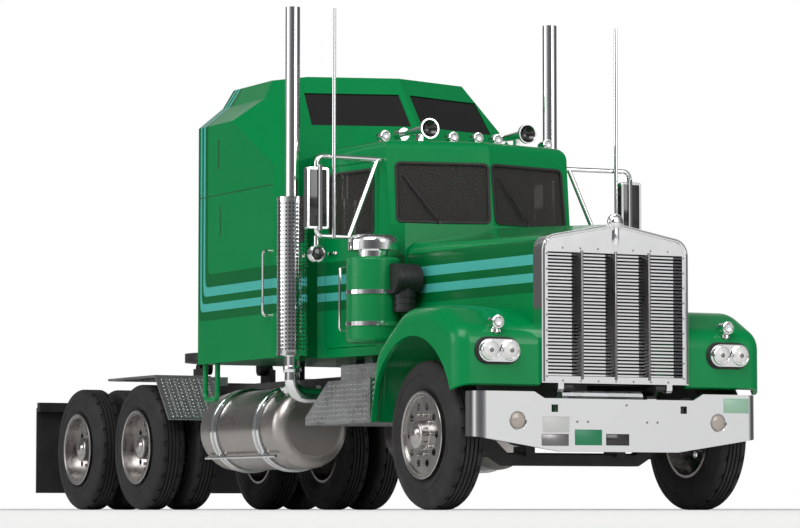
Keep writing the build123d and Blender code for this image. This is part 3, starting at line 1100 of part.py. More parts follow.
def fender_form(inset):
    """One left fender, or the space under it."""
    with BuildPart() as form:
        with BuildSketch(Plane.XZ.offset(-FENDER_OUTSIDE + inset)) as outline:
            with BuildLine():
                Polyline((fx(FENDER_REAR) + inset, FENDER_REAR_BOTTOM - inset * 4),
                         (fx(FENDER_HIP[0]) + inset, FENDER_HIP[1] - inset),
                         (fx(FENDER_CROWN_REAR), FENDER_CROWN - inset),
                         (fx(FENDER_CROWN_FRONT), FENDER_CROWN - inset),
                         (fx(FENDER_FACE) - inset, FENDER_BROW - inset),
                         (fx(FENDER_FACE) - inset, FENDER_FRONT_BOTTOM - inset * 4),
                         (fx(0), FENDER_REAR_BOTTOM - inset * 4), close=True)
            make_face()
            fillet(outline.vertices().group_by(Axis.Y)[-1], radius=FENDER_CROWN_ROUND)
            fillet(outline.vertices().sort_by(Axis.X)[1:2], radius=FENDER_HIP_ROUND)
            fillet(outline.vertices().group_by(Axis.X)[-1].sort_by(Axis.Y)[-1],
                   radius=FENDER_BROW_ROUND)
        extrude(amount=FENDER_OUTSIDE - FENDER_INSIDE - inset)
        outer_edges = form.faces().sort_by(Axis.Y)[-1].edges()
        fillet([edge for edge in outer_edges if edge.center().Z > FENDER_ROLL_FROM],
               radius=FENDER_EDGE - inset)
    return form.part


# Tilting hood: a lofted bonnet fused with the two fenders
with BuildPart() as hood_shell:
    add(fender_form(0))
    add(fender_form(HOOD_WALL), mode=Mode.SUBTRACT)
    with Locations(Plane(origin=(fx(ARCH_X), FENDER_OUTSIDE + 1, ARCH_Z), z_dir=(0, -1, 0)).location):
        Cylinder(ARCH_RADIUS, FENDER_OUTSIDE - FENDER_INSIDE + 2,
                 align=(Align.CENTER, Align.CENTER, Align.MIN),
                 mode=Mode.SUBTRACT)
    mirror(about=Plane.XZ)
    with BuildPart(mode=Mode.PRIVATE) as bonnet:
        add(hood_form(0))
        block((fx(HOOD_REAR - 1), fx(GRILLE_FACE)), (-40, 40), (GRILLE_BOTTOM - 1, HOOD_SIDE_BOTTOM),
              mode=Mode.SUBTRACT)
    add(bonnet.part)
    add(hood_form(HOOD_WALL), mode=Mode.SUBTRACT)
    block((fx(GRILLE_FACE - GRILLE_DEPTH), fx(GRILLE_FACE)), (-GRILLE_HALF, GRILLE_HALF),
          (FENDER_REAR_BOTTOM, GRILLE_PEAK), mode=Mode.SUBTRACT)
keep(hood_shell.part, "hood_shell")


def grille_face(inset):
    """Outline of the grille shell, or of the opening inside its frame."""
    with BuildSketch(Plane.YZ.offset(fx(GRILLE_FACE - GRILLE_DEPTH))) as outline:
        with BuildLine():
            Polyline((-GRILLE_HALF, GRILLE_BOTTOM), (GRILLE_HALF, GRILLE_BOTTOM),
                     (GRILLE_HALF, GRILLE_SHOULDER),
                     (0, GRILLE_PEAK), (-GRILLE_HALF, GRILLE_SHOULDER), close=True)
        make_face()
        fillet(outline.vertices().group_by(Axis.Y)[1], radius=HOOD_CORNER)
        if inset:
            offset(amount=-inset, kind=Kind.INTERSECTION, mode=Mode.REPLACE)
            with Locations((0, (GRILLE_OPENING_TOP + GRILLE_BOTTOM) / 2)):
                Rectangle(2 * GRILLE_HALF, GRILLE_OPENING_TOP - GRILLE_BOTTOM, mode=Mode.INTERSECT)
    return outline.sketch


# Grille shell with hinge ears, and the slats across its opening
with BuildPart() as grille_shell:
    extrude(grille_face(0), amount=GRILLE_DEPTH)
    extrude(grille_face(GRILLE_FRAME), amount=GRILLE_DEPTH, mode=Mode.SUBTRACT)
    for side in (-1, 1):
        inner = side * (RAIL_OUTSIDE + SIDE_PLAY)
        outer = side * (RAIL_OUTSIDE + 2.2)
        block((fx(HOOD_PIN_X - 1.5), fx(HOOD_PIN_X + 1.5)), (inner, outer),
              (HOOD_PIN_Z, GRILLE_BOTTOM + 0.5))
        drum((fx(HOOD_PIN_X), inner, HOOD_PIN_Z), (0, side, 0), 1.5, 2.2 - SIDE_PLAY)
        drum((fx(HOOD_PIN_X), inner, HOOD_PIN_Z), (0, side, 0), HOOD_PIN_RADIUS + RUNNING_FIT, 3,
             mode=Mode.SUBTRACT)
keep(grille_shell.part, "grille_shell")

SLAT_BOTTOM = GRILLE_BOTTOM + GRILLE_FRAME
SLAT_TOP = GRILLE_OPENING_TOP
SLAT_HALF = GRILLE_HALF - GRILLE_FRAME
SLAT_X = GRILLE_FACE - 2.6
with BuildPart() as grille_bars:
    for post_y in GRILLE_POSTS:
        block((fx(SLAT_X - GRILLE_SLAT_DEPTH), fx(SLAT_X + 0.4)),
              (post_y - GRILLE_POST_WIDTH / 2, post_y + GRILLE_POST_WIDTH / 2), (SLAT_BOTTOM, SLAT_TOP))
    for slat in range(GRILLE_SLATS):
        slat_z = SLAT_BOTTOM + (slat + 0.5) * (SLAT_TOP - SLAT_BOTTOM) / GRILLE_SLATS
        block((fx(SLAT_X - GRILLE_SLAT_DEPTH), fx(SLAT_X)), (-SLAT_HALF, SLAT_HALF),
              (slat_z - GRILLE_SLAT_HEIGHT / 2, slat_z + GRILLE_SLAT_HEIGHT / 2))
    extrude(grille_face(GRILLE_FRAME), amount=GRILLE_DEPTH, mode=Mode.INTERSECT)
keep(grille_bars.part, "grille_bars")

# Headlamp pods on the fenders' faces, and the signal lamps above them
with BuildPart() as headlamps:
    with BuildSketch(Plane.YZ.offset(fx(FENDER_FACE))):
        with Locations((LAMP_POD_Y, LAMP_POD_Z)):
            SlotOverall(LAMP_POD_WIDTH, LAMP_POD_HEIGHT)
    extrude(amount=LAMP_POD_DEPTH)
    for lamp_y in (-LAMP_SPACING / 2, LAMP_SPACING / 2):
        drum((fx(FENDER_FACE + LAMP_POD_DEPTH), LAMP_POD_Y + lamp_y, LAMP_POD_Z), (1, 0, 0),
             LAMP_RADIUS, 0.7)
    drum((fx(SIGNAL_LAMP_X - SIGNAL_LAMP_LENGTH), LAMP_POD_Y, SIGNAL_LAMP_Z), (1, 0, 0),
         SIGNAL_LAMP_RADIUS,
         SIGNAL_LAMP_LENGTH)
    drum((fx(SIGNAL_LAMP_X - SIGNAL_LAMP_LENGTH / 2), LAMP_POD_Y, FENDER_BROW - HOOD_WALL), (0, 0, 1),
         SIGNAL_POST_RADIUS,
         SIGNAL_LAMP_Z - FENDER_BROW + HOOD_WALL)
    add(fender_form(0), mode=Mode.SUBTRACT)
    mirror(about=Plane.XZ)
keep(headlamps.part, "headlamps")


def tyre_form():
    """A tyre about Z, with a flat tread, rounded shoulders and leaning sidewalls."""
    half = TYRE_WIDTH / 2
    bead = RIM_RADIUS + SEAT_GAP
    with BuildPart() as form:
        with BuildSketch(Plane.XZ) as section:
            with BuildLine():
                Polyline((bead, -half + BEAD_INSET), (RIM_RADIUS + 3.4, -half),
                         (TYRE_RADIUS - 4.0, -half),
                         (TYRE_RADIUS, -half + 1.0), (TYRE_RADIUS, half - 1.0),
                         (TYRE_RADIUS - 4.0, half),
                         (RIM_RADIUS + 3.4, half), (bead, half - BEAD_INSET), close=True)
            make_face()
            fillet(section.vertices().group_by(Axis.X)[-1], radius=TYRE_SHOULDER)
        revolve(axis=Axis.Z)
    return form.part


def wheel_form(half, rim_out, disc_low, disc_high, hub_low, hub_high, bore, bore_depth):
    """A wheel about Z, outer face up: lipped barrel, disc with hand holes, hub with a blind bore."""
    with BuildPart() as form:
        with Locations((0, 0, rim_out - RIM_LIP_WIDTH)):
            Cylinder(RIM_RADIUS + RIM_LIP, RIM_LIP_WIDTH, align=(Align.CENTER, Align.CENTER, Align.MIN))
        with Locations((0, 0, -half)):
            Cylinder(RIM_RADIUS, half + rim_out, align=(Align.CENTER, Align.CENTER, Align.MIN))
            Cylinder(RIM_RADIUS - RIM_WALL, half + rim_out,
                     align=(Align.CENTER, Align.CENTER, Align.MIN), mode=Mode.SUBTRACT)
        with Locations((0, 0, disc_low)):
            Cylinder(RIM_RADIUS - RIM_WALL / 2, disc_high - disc_low,
                     align=(Align.CENTER, Align.CENTER, Align.MIN))
        with Locations((0, 0, disc_low - 1)):
            with PolarLocations(HAND_HOLE_CIRCLE, HAND_HOLES):
                Cylinder(HAND_HOLE_RADIUS, disc_high - disc_low + 2,
                         align=(Align.CENTER, Align.CENTER, Align.MIN), mode=Mode.SUBTRACT)
        with Locations((0, 0, hub_low)):
            Cylinder(HUB_RADIUS, hub_high - hub_low, align=(Align.CENTER, Align.CENTER, Align.MIN))
            Cylinder(bore, bore_depth, align=(Align.CENTER, Align.CENTER, Align.MIN),
                     mode=Mode.SUBTRACT)
    return form.part


tyre = tyre_form()
FRONT_HUB_LOW = KING_PIN_Y + AXLE_EYE_RADIUS + SIDE_PLAY + KNUCKLE_WEB + SIDE_PLAY - FRONT_TRACK_HALF
FRONT_SPINDLE_END = FRONT_TRACK_HALF + 3.2
front_wheel = wheel_form(TYRE_WIDTH / 2 - BEAD_INSET, FRONT_RIM_OUT, *FRONT_DISC, FRONT_HUB_LOW,
                         FRONT_HUB_END,
                         FRONT_SPINDLE_RADIUS + RUNNING_FIT,
                         FRONT_SPINDLE_END - FRONT_TRACK_HALF - FRONT_HUB_LOW + SIDE_PLAY)
twin_half = DUAL_SPACING / 2 + TYRE_WIDTH / 2 - BEAD_INSET
twin_wheel = wheel_form(twin_half, TWIN_RIM_OUT, *TWIN_DISC, HUB_INSIDE - REAR_TRACK_HALF, TWIN_HUB_END,
                        REAR_SPINDLE_RADIUS + RUNNING_FIT, SPINDLE_END - HUB_INSIDE + SIDE_PLAY)

for name, side in SIDES:
    hub_plane = Plane(origin=(fx(0), side * FRONT_TRACK_HALF, TYRE_RADIUS), x_dir=(1, 0, 0),
                      z_dir=(0, side, 0))
    keep(tyre.moved(hub_plane.location), f"front_tyre_{name}")
    keep(front_wheel.moved(hub_plane.location), f"front_wheel_{name}")
    # Knuckle: a fork on the king pin, a spindle and a steering arm
    with BuildPart() as knuckle:
        web_in = KING_PIN_Y + AXLE_EYE_RADIUS + SIDE_PLAY
        lug_low = AXLE_EYE_HALF + 0.15
        lug_high = lug_low + 1.8
        for lug in (-1, 1):
            drum((fx(0), side * KING_PIN_Y, TYRE_RADIUS + lug * lug_low), (0, 0, lug), AXLE_EYE_RADIUS,
                 lug_high - lug_low)
            block((fx(-AXLE_EYE_RADIUS), fx(AXLE_EYE_RADIUS)),
                  (side * KING_PIN_Y, side * (web_in + KNUCKLE_WEB)),
                  (TYRE_RADIUS + lug * lug_low, TYRE_RADIUS + lug * lug_high))
        block((fx(-AXLE_EYE_RADIUS), fx(AXLE_EYE_RADIUS)),
              (side * web_in, side * (web_in + KNUCKLE_WEB)),
              (TYRE_RADIUS - lug_high, TYRE_RADIUS + lug_high))
        drum((fx(0), side * KING_PIN_Y, TYRE_RADIUS - lug_high), (0, 0, 1), KING_PIN_RADIUS,
             2 * lug_high)
        drum((fx(0), side * web_in, TYRE_RADIUS), (0, side, 0), FRONT_SPINDLE_RADIUS,
             FRONT_SPINDLE_END - web_in)
        arm_top = TYRE_RADIUS - lug_low
        block((fx(-STEER_ARM_BACK), fx(0)), (side * (KING_PIN_Y - 1.0), side * (KING_PIN_Y + 1.0)),
              (arm_top - 1.6, arm_top))
        drum((fx(-STEER_ARM_BACK), side * KING_PIN_Y, arm_top - 1.6), (0, 0, 1), 1.4, 1.6)
        drum((fx(-STEER_ARM_BACK), side * KING_PIN_Y, arm_top), (0, 0, -1), TIE_ROD_PIN,
             arm_top - TIE_ROD_Z + TIE_ROD_EYE / 2)
    keep(knuckle.part, f"knuckle_{name}")

with BuildPart() as tie_rod:
    drum((fx(-STEER_ARM_BACK), -KING_PIN_Y, TIE_ROD_Z), (0, 1, 0), TIE_ROD_RADIUS, 2 * KING_PIN_Y)
    for side in (-1, 1):
        eye_foot = (fx(-STEER_ARM_BACK), side * KING_PIN_Y, TIE_ROD_Z - TIE_ROD_EYE / 2)
        drum(eye_foot, (0, 0, 1), 1.5, TIE_ROD_EYE)
        drum(eye_foot, (0, 0, 1), TIE_ROD_PIN + RUNNING_FIT, TIE_ROD_EYE, mode=Mode.SUBTRACT)
keep(tie_rod.part, "tie_rod")

for axle, axle_x in (("first", -WHEELBASE), ("second", -WHEELBASE - TANDEM_SPACING)):
    for name, side in SIDES:
        hub_plane = Plane(origin=(fx(axle_x), side * REAR_TRACK_HALF, TYRE_RADIUS), x_dir=(1, 0, 0),
                          z_dir=(0, side, 0))
        keep(twin_wheel.moved(hub_plane.location), f"twin_wheel_{axle}_{name}")
        pair = Compound(children=[tyre.moved(hub_plane.location * Location((0, 0, shift)))
                                  for shift in (-DUAL_SPACING / 2, DUAL_SPACING / 2)])
        keep(pair, f"twin_tyres_{axle}_{name}")
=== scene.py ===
"""Looks of a display model truck tractor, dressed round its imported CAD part.

Metres, +X forward, +Y the driver's left, +Z up. Sizes below are written in millimetres, and
places along the truck are distances ahead of the front axle, as in the part's source.
"""
import json
import math

import bpy
from mathutils import Matrix, Vector

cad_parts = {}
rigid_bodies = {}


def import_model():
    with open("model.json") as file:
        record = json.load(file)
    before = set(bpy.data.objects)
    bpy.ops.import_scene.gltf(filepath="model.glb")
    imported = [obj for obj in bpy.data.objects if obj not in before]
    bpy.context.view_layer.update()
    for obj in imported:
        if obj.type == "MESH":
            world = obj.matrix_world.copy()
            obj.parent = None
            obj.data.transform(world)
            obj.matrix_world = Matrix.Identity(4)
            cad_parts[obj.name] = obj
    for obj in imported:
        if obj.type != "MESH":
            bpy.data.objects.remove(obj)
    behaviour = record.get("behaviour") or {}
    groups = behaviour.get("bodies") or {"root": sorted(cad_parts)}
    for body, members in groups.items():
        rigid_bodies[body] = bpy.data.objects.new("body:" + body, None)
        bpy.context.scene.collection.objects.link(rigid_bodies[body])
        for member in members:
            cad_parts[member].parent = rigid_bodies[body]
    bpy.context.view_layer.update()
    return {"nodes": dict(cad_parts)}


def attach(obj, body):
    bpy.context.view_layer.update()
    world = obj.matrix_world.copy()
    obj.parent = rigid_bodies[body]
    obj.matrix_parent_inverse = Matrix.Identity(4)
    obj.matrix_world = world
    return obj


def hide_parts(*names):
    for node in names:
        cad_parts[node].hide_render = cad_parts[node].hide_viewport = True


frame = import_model()

MM = 0.001
AXLE_X = 145.6
SIDES = (("right", -1), ("left", 1))

# Wheels and tyres
TYRE_RADIUS = 22.1
TYRE_HALF = 5.3
BEAD_RADIUS = 12.36
TREAD_HALF = 3.1
TREAD_RIBS = 5
GROOVE_WIDTH = 0.45
GROOVE_DEPTH = 0.7
TYRE_STEPS = 72
FRONT_TRACK = 45.0
REAR_TRACK = 35.9
TWIN_SPACING = 13.4
DRIVE_AXLES = (("first", -224.5), ("second", -280.4))


def at(ahead, y, z):
    """A point in metres from millimetres, with X ahead of the front axle."""
    return Vector(((AXLE_X + ahead) * MM, y * MM, z * MM))


# Shader groups

FLOAT = "NodeSocketFloat"


def new_group(name, inputs, outputs):
    """An empty node group with named sockets, and its end nodes."""
    group = bpy.data.node_groups.new(name, "ShaderNodeTree")
    for label, kind, value in inputs:
        socket = group.interface.new_socket(label, in_out="INPUT", socket_type=kind)
        socket.default_value = value
    for label, kind in outputs:
        group.interface.new_socket(label, in_out="OUTPUT", socket_type=kind)
    source = group.nodes.new("NodeGroupInput")
    sink = group.nodes.new("NodeGroupOutput")
    return group, source, sink


def node(tree, kind, **settings):
    """Add a node and set its properties."""
    made = tree.nodes.new(kind)
    for label, value in settings.items():
        setattr(made, label, value)
    return made


def math_node(tree, operation, first, second=None, third=None):
    """A Math node fed by sockets or numbers; gives its output socket."""
    made = node(tree, "ShaderNodeMath", operation=operation)
    for index, value in enumerate((first, second, third)):
        if value is None:
            continue
        if isinstance(value, (int, float)):
            made.inputs[index].default_value = value
        else:
            tree.links.new(value, made.inputs[index])
    return made.outputs[0]


def make_polish_group():
    """Roughness that wanders over a surface between two values."""
    group, source, sink = new_group(
        "polish", (("Scale", FLOAT, 60.0), ("Low", FLOAT, 0.1), ("High", FLOAT, 0.2)), (("Roughness", FLOAT),))
    place = node(group, "ShaderNodeTexCoord")
    noise = node(group, "ShaderNodeTexNoise")
    noise.inputs["Detail"].default_value = 4.0
    spread = node(group, "ShaderNodeMapRange")
    spread.inputs["From Min"].default_value = 0.35
    spread.inputs["From Max"].default_value = 0.65
    group.links.new(place.outputs["Object"], noise.inputs["Vector"])
    group.links.new(source.outputs["Scale"], noise.inputs["Scale"])
    group.links.new(noise.outputs["Fac"], spread.inputs["Value"])
    group.links.new(source.outputs["Low"], spread.inputs["To Min"])
    group.links.new(source.outputs["High"], spread.inputs["To Max"])
    group.links.new(spread.outputs["Result"], sink.inputs["Roughness"])
    return group


def make_skin_group():
    """Fine height of a moulded or sprayed skin."""
    group, source, sink = new_group("moulded_skin", (("Scale", FLOAT, 900.0),), (("Height", FLOAT),))
    place = node(group, "ShaderNodeTexCoord")
    noise = node(group, "ShaderNodeTexNoise")
    noise.inputs["Detail"].default_value = 2.0
    group.links.new(place.outputs["Object"], noise.inputs["Vector"])
    group.links.new(source.outputs["Scale"], noise.inputs["Scale"])
    group.links.new(noise.outputs["Fac"], sink.inputs["Height"])
    return group


def make_dust_group():
    """Mask of the dust that settles on faces that look up."""
    group, source, sink = new_group(
        "settled_dust", (("Scale", FLOAT, 120.0), ("Amount", FLOAT, 0.2)), (("Mask", FLOAT),))
    place = node(group, "ShaderNodeTexCoord")
    noise = node(group, "ShaderNodeTexNoise")
    noise.inputs["Detail"].default_value = 5.0
    split = node(group, "ShaderNodeSeparateXYZ")
    group.links.new(place.outputs["Object"], noise.inputs["Vector"])
    group.links.new(source.outputs["Scale"], noise.inputs["Scale"])
    group.links.new(place.outputs["Normal"], split.inputs["Vector"])
    facing = math_node(group, "MULTIPLY_ADD", split.outputs["Z"], 0.4, 0.6)
    cloudy = math_node(group, "MULTIPLY", facing, noise.outputs["Fac"])
    mask = math_node(group, "MULTIPLY", cloudy, source.outputs["Amount"])
    group.links.new(mask, sink.inputs["Mask"])
    return group


def make_brushed_group():
    """Height of fine lines brushed along the truck's length."""
    group, source, sink = new_group("brushed_lines", (("Scale", FLOAT, 400.0),), (("Height", FLOAT),))
    place = node(group, "ShaderNodeTexCoord")
    stretch = node(group, "ShaderNodeMapping")
    stretch.inputs["Scale"].default_value = (0.03, 1.0, 1.0)
    noise = node(group, "ShaderNodeTexNoise")
    noise.inputs["Detail"].default_value = 3.0
    group.links.new(place.outputs["Object"], stretch.inputs["Vector"])
    group.links.new(stretch.outputs["Vector"], noise.inputs["Vector"])
    group.links.new(source.outputs["Scale"], noise.inputs["Scale"])
    group.links.new(noise.outputs["Fac"], sink.inputs["Height"])
    return group


POLISH = make_polish_group()
SKIN = make_skin_group()
DUST = make_dust_group()
BRUSHED = make_brushed_group()


def place_group(tree, group, **values):
    """Place a shader group with its own values."""
    made = node(tree, "ShaderNodeGroup", node_tree=group)
    for label, value in values.items():
        made.inputs[label].default_value = value
    return made


def new_finish(name, colour, polish=None, skin=None, bump=0.1, **sockets):
    """A Principled material with wandering roughness and a fine skin."""
    finish = bpy.data.materials.new(name)
    finish.use_nodes = True
    tree = finish.node_tree
    shader = tree.nodes["Principled BSDF"]
    shader.inputs["Base Color"].default_value = (*colour, 1.0)
    for label, value in sockets.items():
        shader.inputs[label.replace("_", " ")].default_value = value
    if polish:
        wander = place_group(tree, POLISH, Scale=polish[0], Low=polish[1], High=polish[2])
        tree.links.new(wander.outputs["Roughness"], shader.inputs["Roughness"])
    if skin:
        relief = node(tree, "ShaderNodeBump")
        relief.inputs["Strength"].default_value = bump
        relief.inputs["Distance"].default_value = 0.05 * MM
        grain = place_group(tree, SKIN, Scale=skin)
        tree.links.new(grain.outputs["Height"], relief.inputs["Height"])
        tree.links.new(relief.outputs["Normal"], shader.inputs["Normal"])
    return finish, tree, shader


def mix_colour(tree, mask, below, above):
    """Mix a colour socket or value into another by a mask; gives the output socket."""
    mixer = node(tree, "ShaderNodeMix", data_type="RGBA")
    tree.links.new(mask, mixer.inputs["Factor"])
    for label, value in (("A", below), ("B", above)):
        socket = next(s for s in mixer.inputs if s.name == label and s.type == "RGBA")
        if isinstance(value, tuple):
            socket.default_value = (*value, 1.0)
        else:
            tree.links.new(value, socket)
    return next(s for s in mixer.outputs if s.type == "RGBA")


# Finishes
GREEN = (0.0, 0.235, 0.062)
BAND_GREEN = (0.0, 0.135, 0.034)
STRIPE_TEAL = (0.075, 0.46, 0.40)
DUST_GREY = (0.30, 0.29, 0.27)
# Stripe edges: height above STRIPE_FOOT in millimetres, and the colour that starts there
STRIPE_FOOT = 62.0
STRIPE_REAR = -169.6
STRIPE_TURN = 2.0           # how much thinner the stripes are up the sleeper's rear edge
STRIPE_STOPS = ((0.0, GREEN), (1.7, BAND_GREEN), (4.7, STRIPE_TEAL), (7.4, BAND_GREEN),
                (9.9, STRIPE_TEAL), (12.9, BAND_GREEN), (17.3, GREEN))
STRIPE_SPAN = 20.0
STRIPE_ROUND = 6.0          # how far the stripes' corner is rounded


def make_striped_green():
    """Gloss green with the bands that run along the sides and turn up the sleeper's rear edge."""
    finish, tree, shader = new_finish("gloss_green_striped", GREEN, polish=(45.0, 0.16, 0.26), skin=700.0,
                                      bump=0.05)
    shader.inputs["Coat Weight"].default_value = 0.08
    shader.inputs["Specular IOR Level"].default_value = 0.25
    shader.inputs["Coat Roughness"].default_value = 0.06
    place = node(tree, "ShaderNodeTexCoord")
    split = node(tree, "ShaderNodeSeparateXYZ")
    facing = node(tree, "ShaderNodeSeparateXYZ")
    tree.links.new(place.outputs["Object"], split.inputs["Vector"])
    tree.links.new(place.outputs["Normal"], facing.inputs["Vector"])
    from_rear = math_node(tree, "MULTIPLY_ADD", split.outputs["X"], STRIPE_TURN / MM,
                          -STRIPE_TURN * (AXLE_X + STRIPE_REAR))
    from_foot = math_node(tree, "MULTIPLY_ADD", split.outputs["Z"], 1 / MM, -STRIPE_FOOT)
    along = math_node(tree, "SMOOTH_MIN", from_rear, from_foot, STRIPE_ROUND)
    share = math_node(tree, "MULTIPLY", along, 1 / STRIPE_SPAN)
    ramp = node(tree, "ShaderNodeValToRGB")
    ramp.color_ramp.interpolation = "CONSTANT"
    while len(ramp.color_ramp.elements) < len(STRIPE_STOPS):
        ramp.color_ramp.elements.new(0.99)
    for element, (height, colour) in zip(ramp.color_ramp.elements, STRIPE_STOPS):
        element.position = height / STRIPE_SPAN
        element.color = (*colour, 1.0)
    tree.links.new(share, ramp.inputs["Fac"])
    sideways = math_node(tree, "ABSOLUTE", facing.outputs["Y"])
    on_side = math_node(tree, "GREATER_THAN", sideways, 0.6)
    striped = mix_colour(tree, on_side, GREEN, ramp.outputs["Color"])
    tree.links.new(striped, shader.inputs["Base Color"])
    return finish


def make_plain_green():
    """The same green without bands, for pieces that stand off the body."""
    finish, tree, shader = new_finish("gloss_green", GREEN, polish=(60.0, 0.16, 0.28), skin=700.0, bump=0.05)
    shader.inputs["Coat Weight"].default_value = 0.08
    shader.inputs["Specular IOR Level"].default_value = 0.25
    shader.inputs["Coat Roughness"].default_value = 0.06
    dust = place_group(tree, DUST, Scale=200.0, Amount=0.05)
    tree.links.new(mix_colour(tree, dust.outputs["Mask"], GREEN, DUST_GREY), shader.inputs["Base Color"])
    return finish


def make_dusty(name, colour, roughness, skin, amount, bump=0.25):
    """A dull dark finish with a little settled dust."""
    finish, tree, shader = new_finish(name, colour, polish=(150.0, *roughness), skin=skin, bump=bump)
    dust = place_group(tree, DUST, Scale=180.0, Amount=amount)
    tree.links.new(mix_colour(tree, dust.outputs["Mask"], colour, DUST_GREY), shader.inputs["Base Color"])
    return finish


def make_brushed():
    """Brushed aluminium of the tanks."""
    finish, tree, shader = new_finish("brushed_tank", (0.46, 0.43, 0.41), polish=(90.0, 0.26, 0.38),
                                      Metallic=1.0)
    relief = node(tree, "ShaderNodeBump")
    relief.inputs["Strength"].default_value = 0.25
    relief.inputs["Distance"].default_value = 0.05 * MM
    lines = place_group(tree, BRUSHED, Scale=1500.0)
    tree.links.new(lines.outputs["Height"], relief.inputs["Height"])
    tree.links.new(relief.outputs["Normal"], shader.inputs["Normal"])
    return finish


STRIPED_GREEN = make_striped_green()
PLAIN_GREEN = make_plain_green()
CHROME = new_finish("plated_chrome", (0.88, 0.885, 0.89), polish=(70.0, 0.05, 0.11), Metallic=1.0)[0]
SATIN_METAL = new_finish("satin_metal", (0.60, 0.61, 0.62), polish=(120.0, 0.22, 0.34), skin=900.0,
                         Metallic=1.0)[0]
BRUSHED_TANK = make_brushed()
WHEEL_ALLOY = new_finish("wheel_alloy", (0.52, 0.50, 0.49), polish=(110.0, 0.2, 0.32), skin=900.0,
                         Metallic=1.0)[0]
BLACK = make_dusty("satin_black", (0.012, 0.012, 0.013), (0.38, 0.55), 1200.0, 0.10)
TYRE_BLACK = make_dusty("tyre_vinyl", (0.010, 0.010, 0.010), (0.62, 0.80), 1500.0, 0.05, bump=0.4)
RUBBER = make_dusty("gasket_rubber", (0.010, 0.010, 0.011), (0.50, 0.65), 1500.0, 0.08)
ENGINE_GREY = make_dusty("engine_grey", (0.10, 0.10, 0.11), (0.35, 0.5), 900.0, 0.18)
CAB_TRIM = make_dusty("cab_trim", (0.085, 0.070, 0.062), (0.45, 0.6), 1100.0, 0.10)
CLEAR_GLASS = new_finish("tinted_pane", (0.055, 0.050, 0.047), polish=(40.0, 0.01, 0.04), Alpha=0.6)[0]
SMOKED_GLASS = new_finish("smoked_pane", (0.012, 0.011, 0.011), polish=(40.0, 0.03, 0.06), Coat_Weight=0.6)[0]
LENS = new_finish("lamp_lens", (0.85, 0.86, 0.86), polish=(60.0, 0.03, 0.06), Transmission_Weight=0.85,
                  IOR=1.45)[0]
PLATE_GREY = new_finish("plate_grey", (0.55, 0.56, 0.55), polish=(80.0, 0.3, 0.42), skin=900.0)[0]
PLATE_GREEN = new_finish("plate_green", (0.01, 0.20, 0.085), polish=(80.0, 0.28, 0.4), skin=900.0)[0]
PLATE_PALE = new_finish("plate_pale", (0.30, 0.50, 0.37), polish=(80.0, 0.28, 0.4), skin=900.0)[0]
# Dark gloss: the painted shade inside the horn bells, the painted dark reflection on the mirror backs, and one
# dark bumper plate
DARK_GLOSS = new_finish("dark_gloss", (0.018, 0.016, 0.016), polish=(60.0, 0.08, 0.16), Coat_Weight=0.3)[0]
DARK_STEEL = new_finish("dark_steel", (0.21, 0.20, 0.20), polish=(120.0, 0.25, 0.4), skin=900.0,
                         Metallic=1.0)[0]
# Lozenges of the tread plate: a brighter, smoother metal than the plate they stand on, a painted highlight on the
# raised tread
TREAD_HIGHLIGHT_METAL = new_finish("bright_tread", (0.80, 0.80, 0.80), polish=(140.0, 0.18, 0.3), Metallic=1.0)[0]
LAMP_WHITE = new_finish("lamp_white", (0.74, 0.74, 0.73), polish=(60.0, 0.08, 0.16), Coat_Weight=0.5)[0]
FOG_BEIGE = new_finish("fog_beige", (0.42, 0.36, 0.32), polish=(60.0, 0.08, 0.2), Coat_Weight=0.4)[0]
# Darker green of the sleeper's panel line and grip slots: painted shade in them
GROOVE_SHADE_GREEN = new_finish("groove_painted_shade", (0.0, 0.075, 0.020), polish=(80.0, 0.3, 0.42), skin=900.0)[0]
SEAT_VINYL = make_dusty("seat_vinyl", (0.050, 0.040, 0.036), (0.42, 0.58), 1600.0, 0.06, bump=0.4)
GAUGE_FACE = new_finish("gauge_face", (0.55, 0.55, 0.52), polish=(90.0, 0.25, 0.4))[0]
MIRROR_GLASS = new_finish("mirror_glass", (0.70, 0.72, 0.73), polish=(50.0, 0.01, 0.03), Metallic=1.0)[0]

# Which finish each CAD node shows; the rest are satin black
FINISH_OF = {
    STRIPED_GREEN: ("cab_body", "door_right", "door_left", "sleeper_body", "hood_shell"),
    PLAIN_GREEN: ("air_cleaners", "step_loops"),
    CHROME: ("front_bumper", "exhaust_stacks", "mirrors", "air_horns", "air_cleaner_caps", "grille_shell",
             "grille_bars", "headlamps", "marker_lamps"),
    WHEEL_ALLOY: ("front_wheel_right", "front_wheel_left", "twin_wheel_first_right", "twin_wheel_first_left",
                  "twin_wheel_second_right", "twin_wheel_second_left"),
    SATIN_METAL: ("step_boxes", "quarter_fenders", "tank_straps"),
    BRUSHED_TANK: ("fuel_tanks",),
    TYRE_BLACK: ("front_tyre_right", "front_tyre_left", "twin_tyres_first_right", "twin_tyres_first_left",
                 "twin_tyres_second_right", "twin_tyres_second_left"),
    RUBBER: ("mud_flaps", "sleeper_boot", "muffler_guards"),
    ENGINE_GREY: ("engine",),
    CLEAR_GLASS: ("windshield", "door_glass_right", "door_glass_left"),
    SMOKED_GLASS: ("sleeper_windows",),
    LENS: ("bumper_lamps",),
    CAB_TRIM: ("seats", "dashboard"),
}
finish_by_node = {name: finish for finish, names in FINISH_OF.items() for name in names}
for name, cad in frame["nodes"].items():
    cad.data.materials.clear()
    cad.data.materials.append(finish_by_node.get(name, BLACK))


# Modelling by hand

def clear_selection():
    """Leave edit mode with nothing selected."""
    if bpy.context.mode != "OBJECT":
        bpy.ops.object.mode_set(mode="OBJECT")
    bpy.ops.object.select_all(action="DESELECT")


def pick(piece):
    """Make a piece the only selected, active object."""
    clear_selection()
    piece.select_set(True)
    bpy.context.view_layer.objects.active = piece


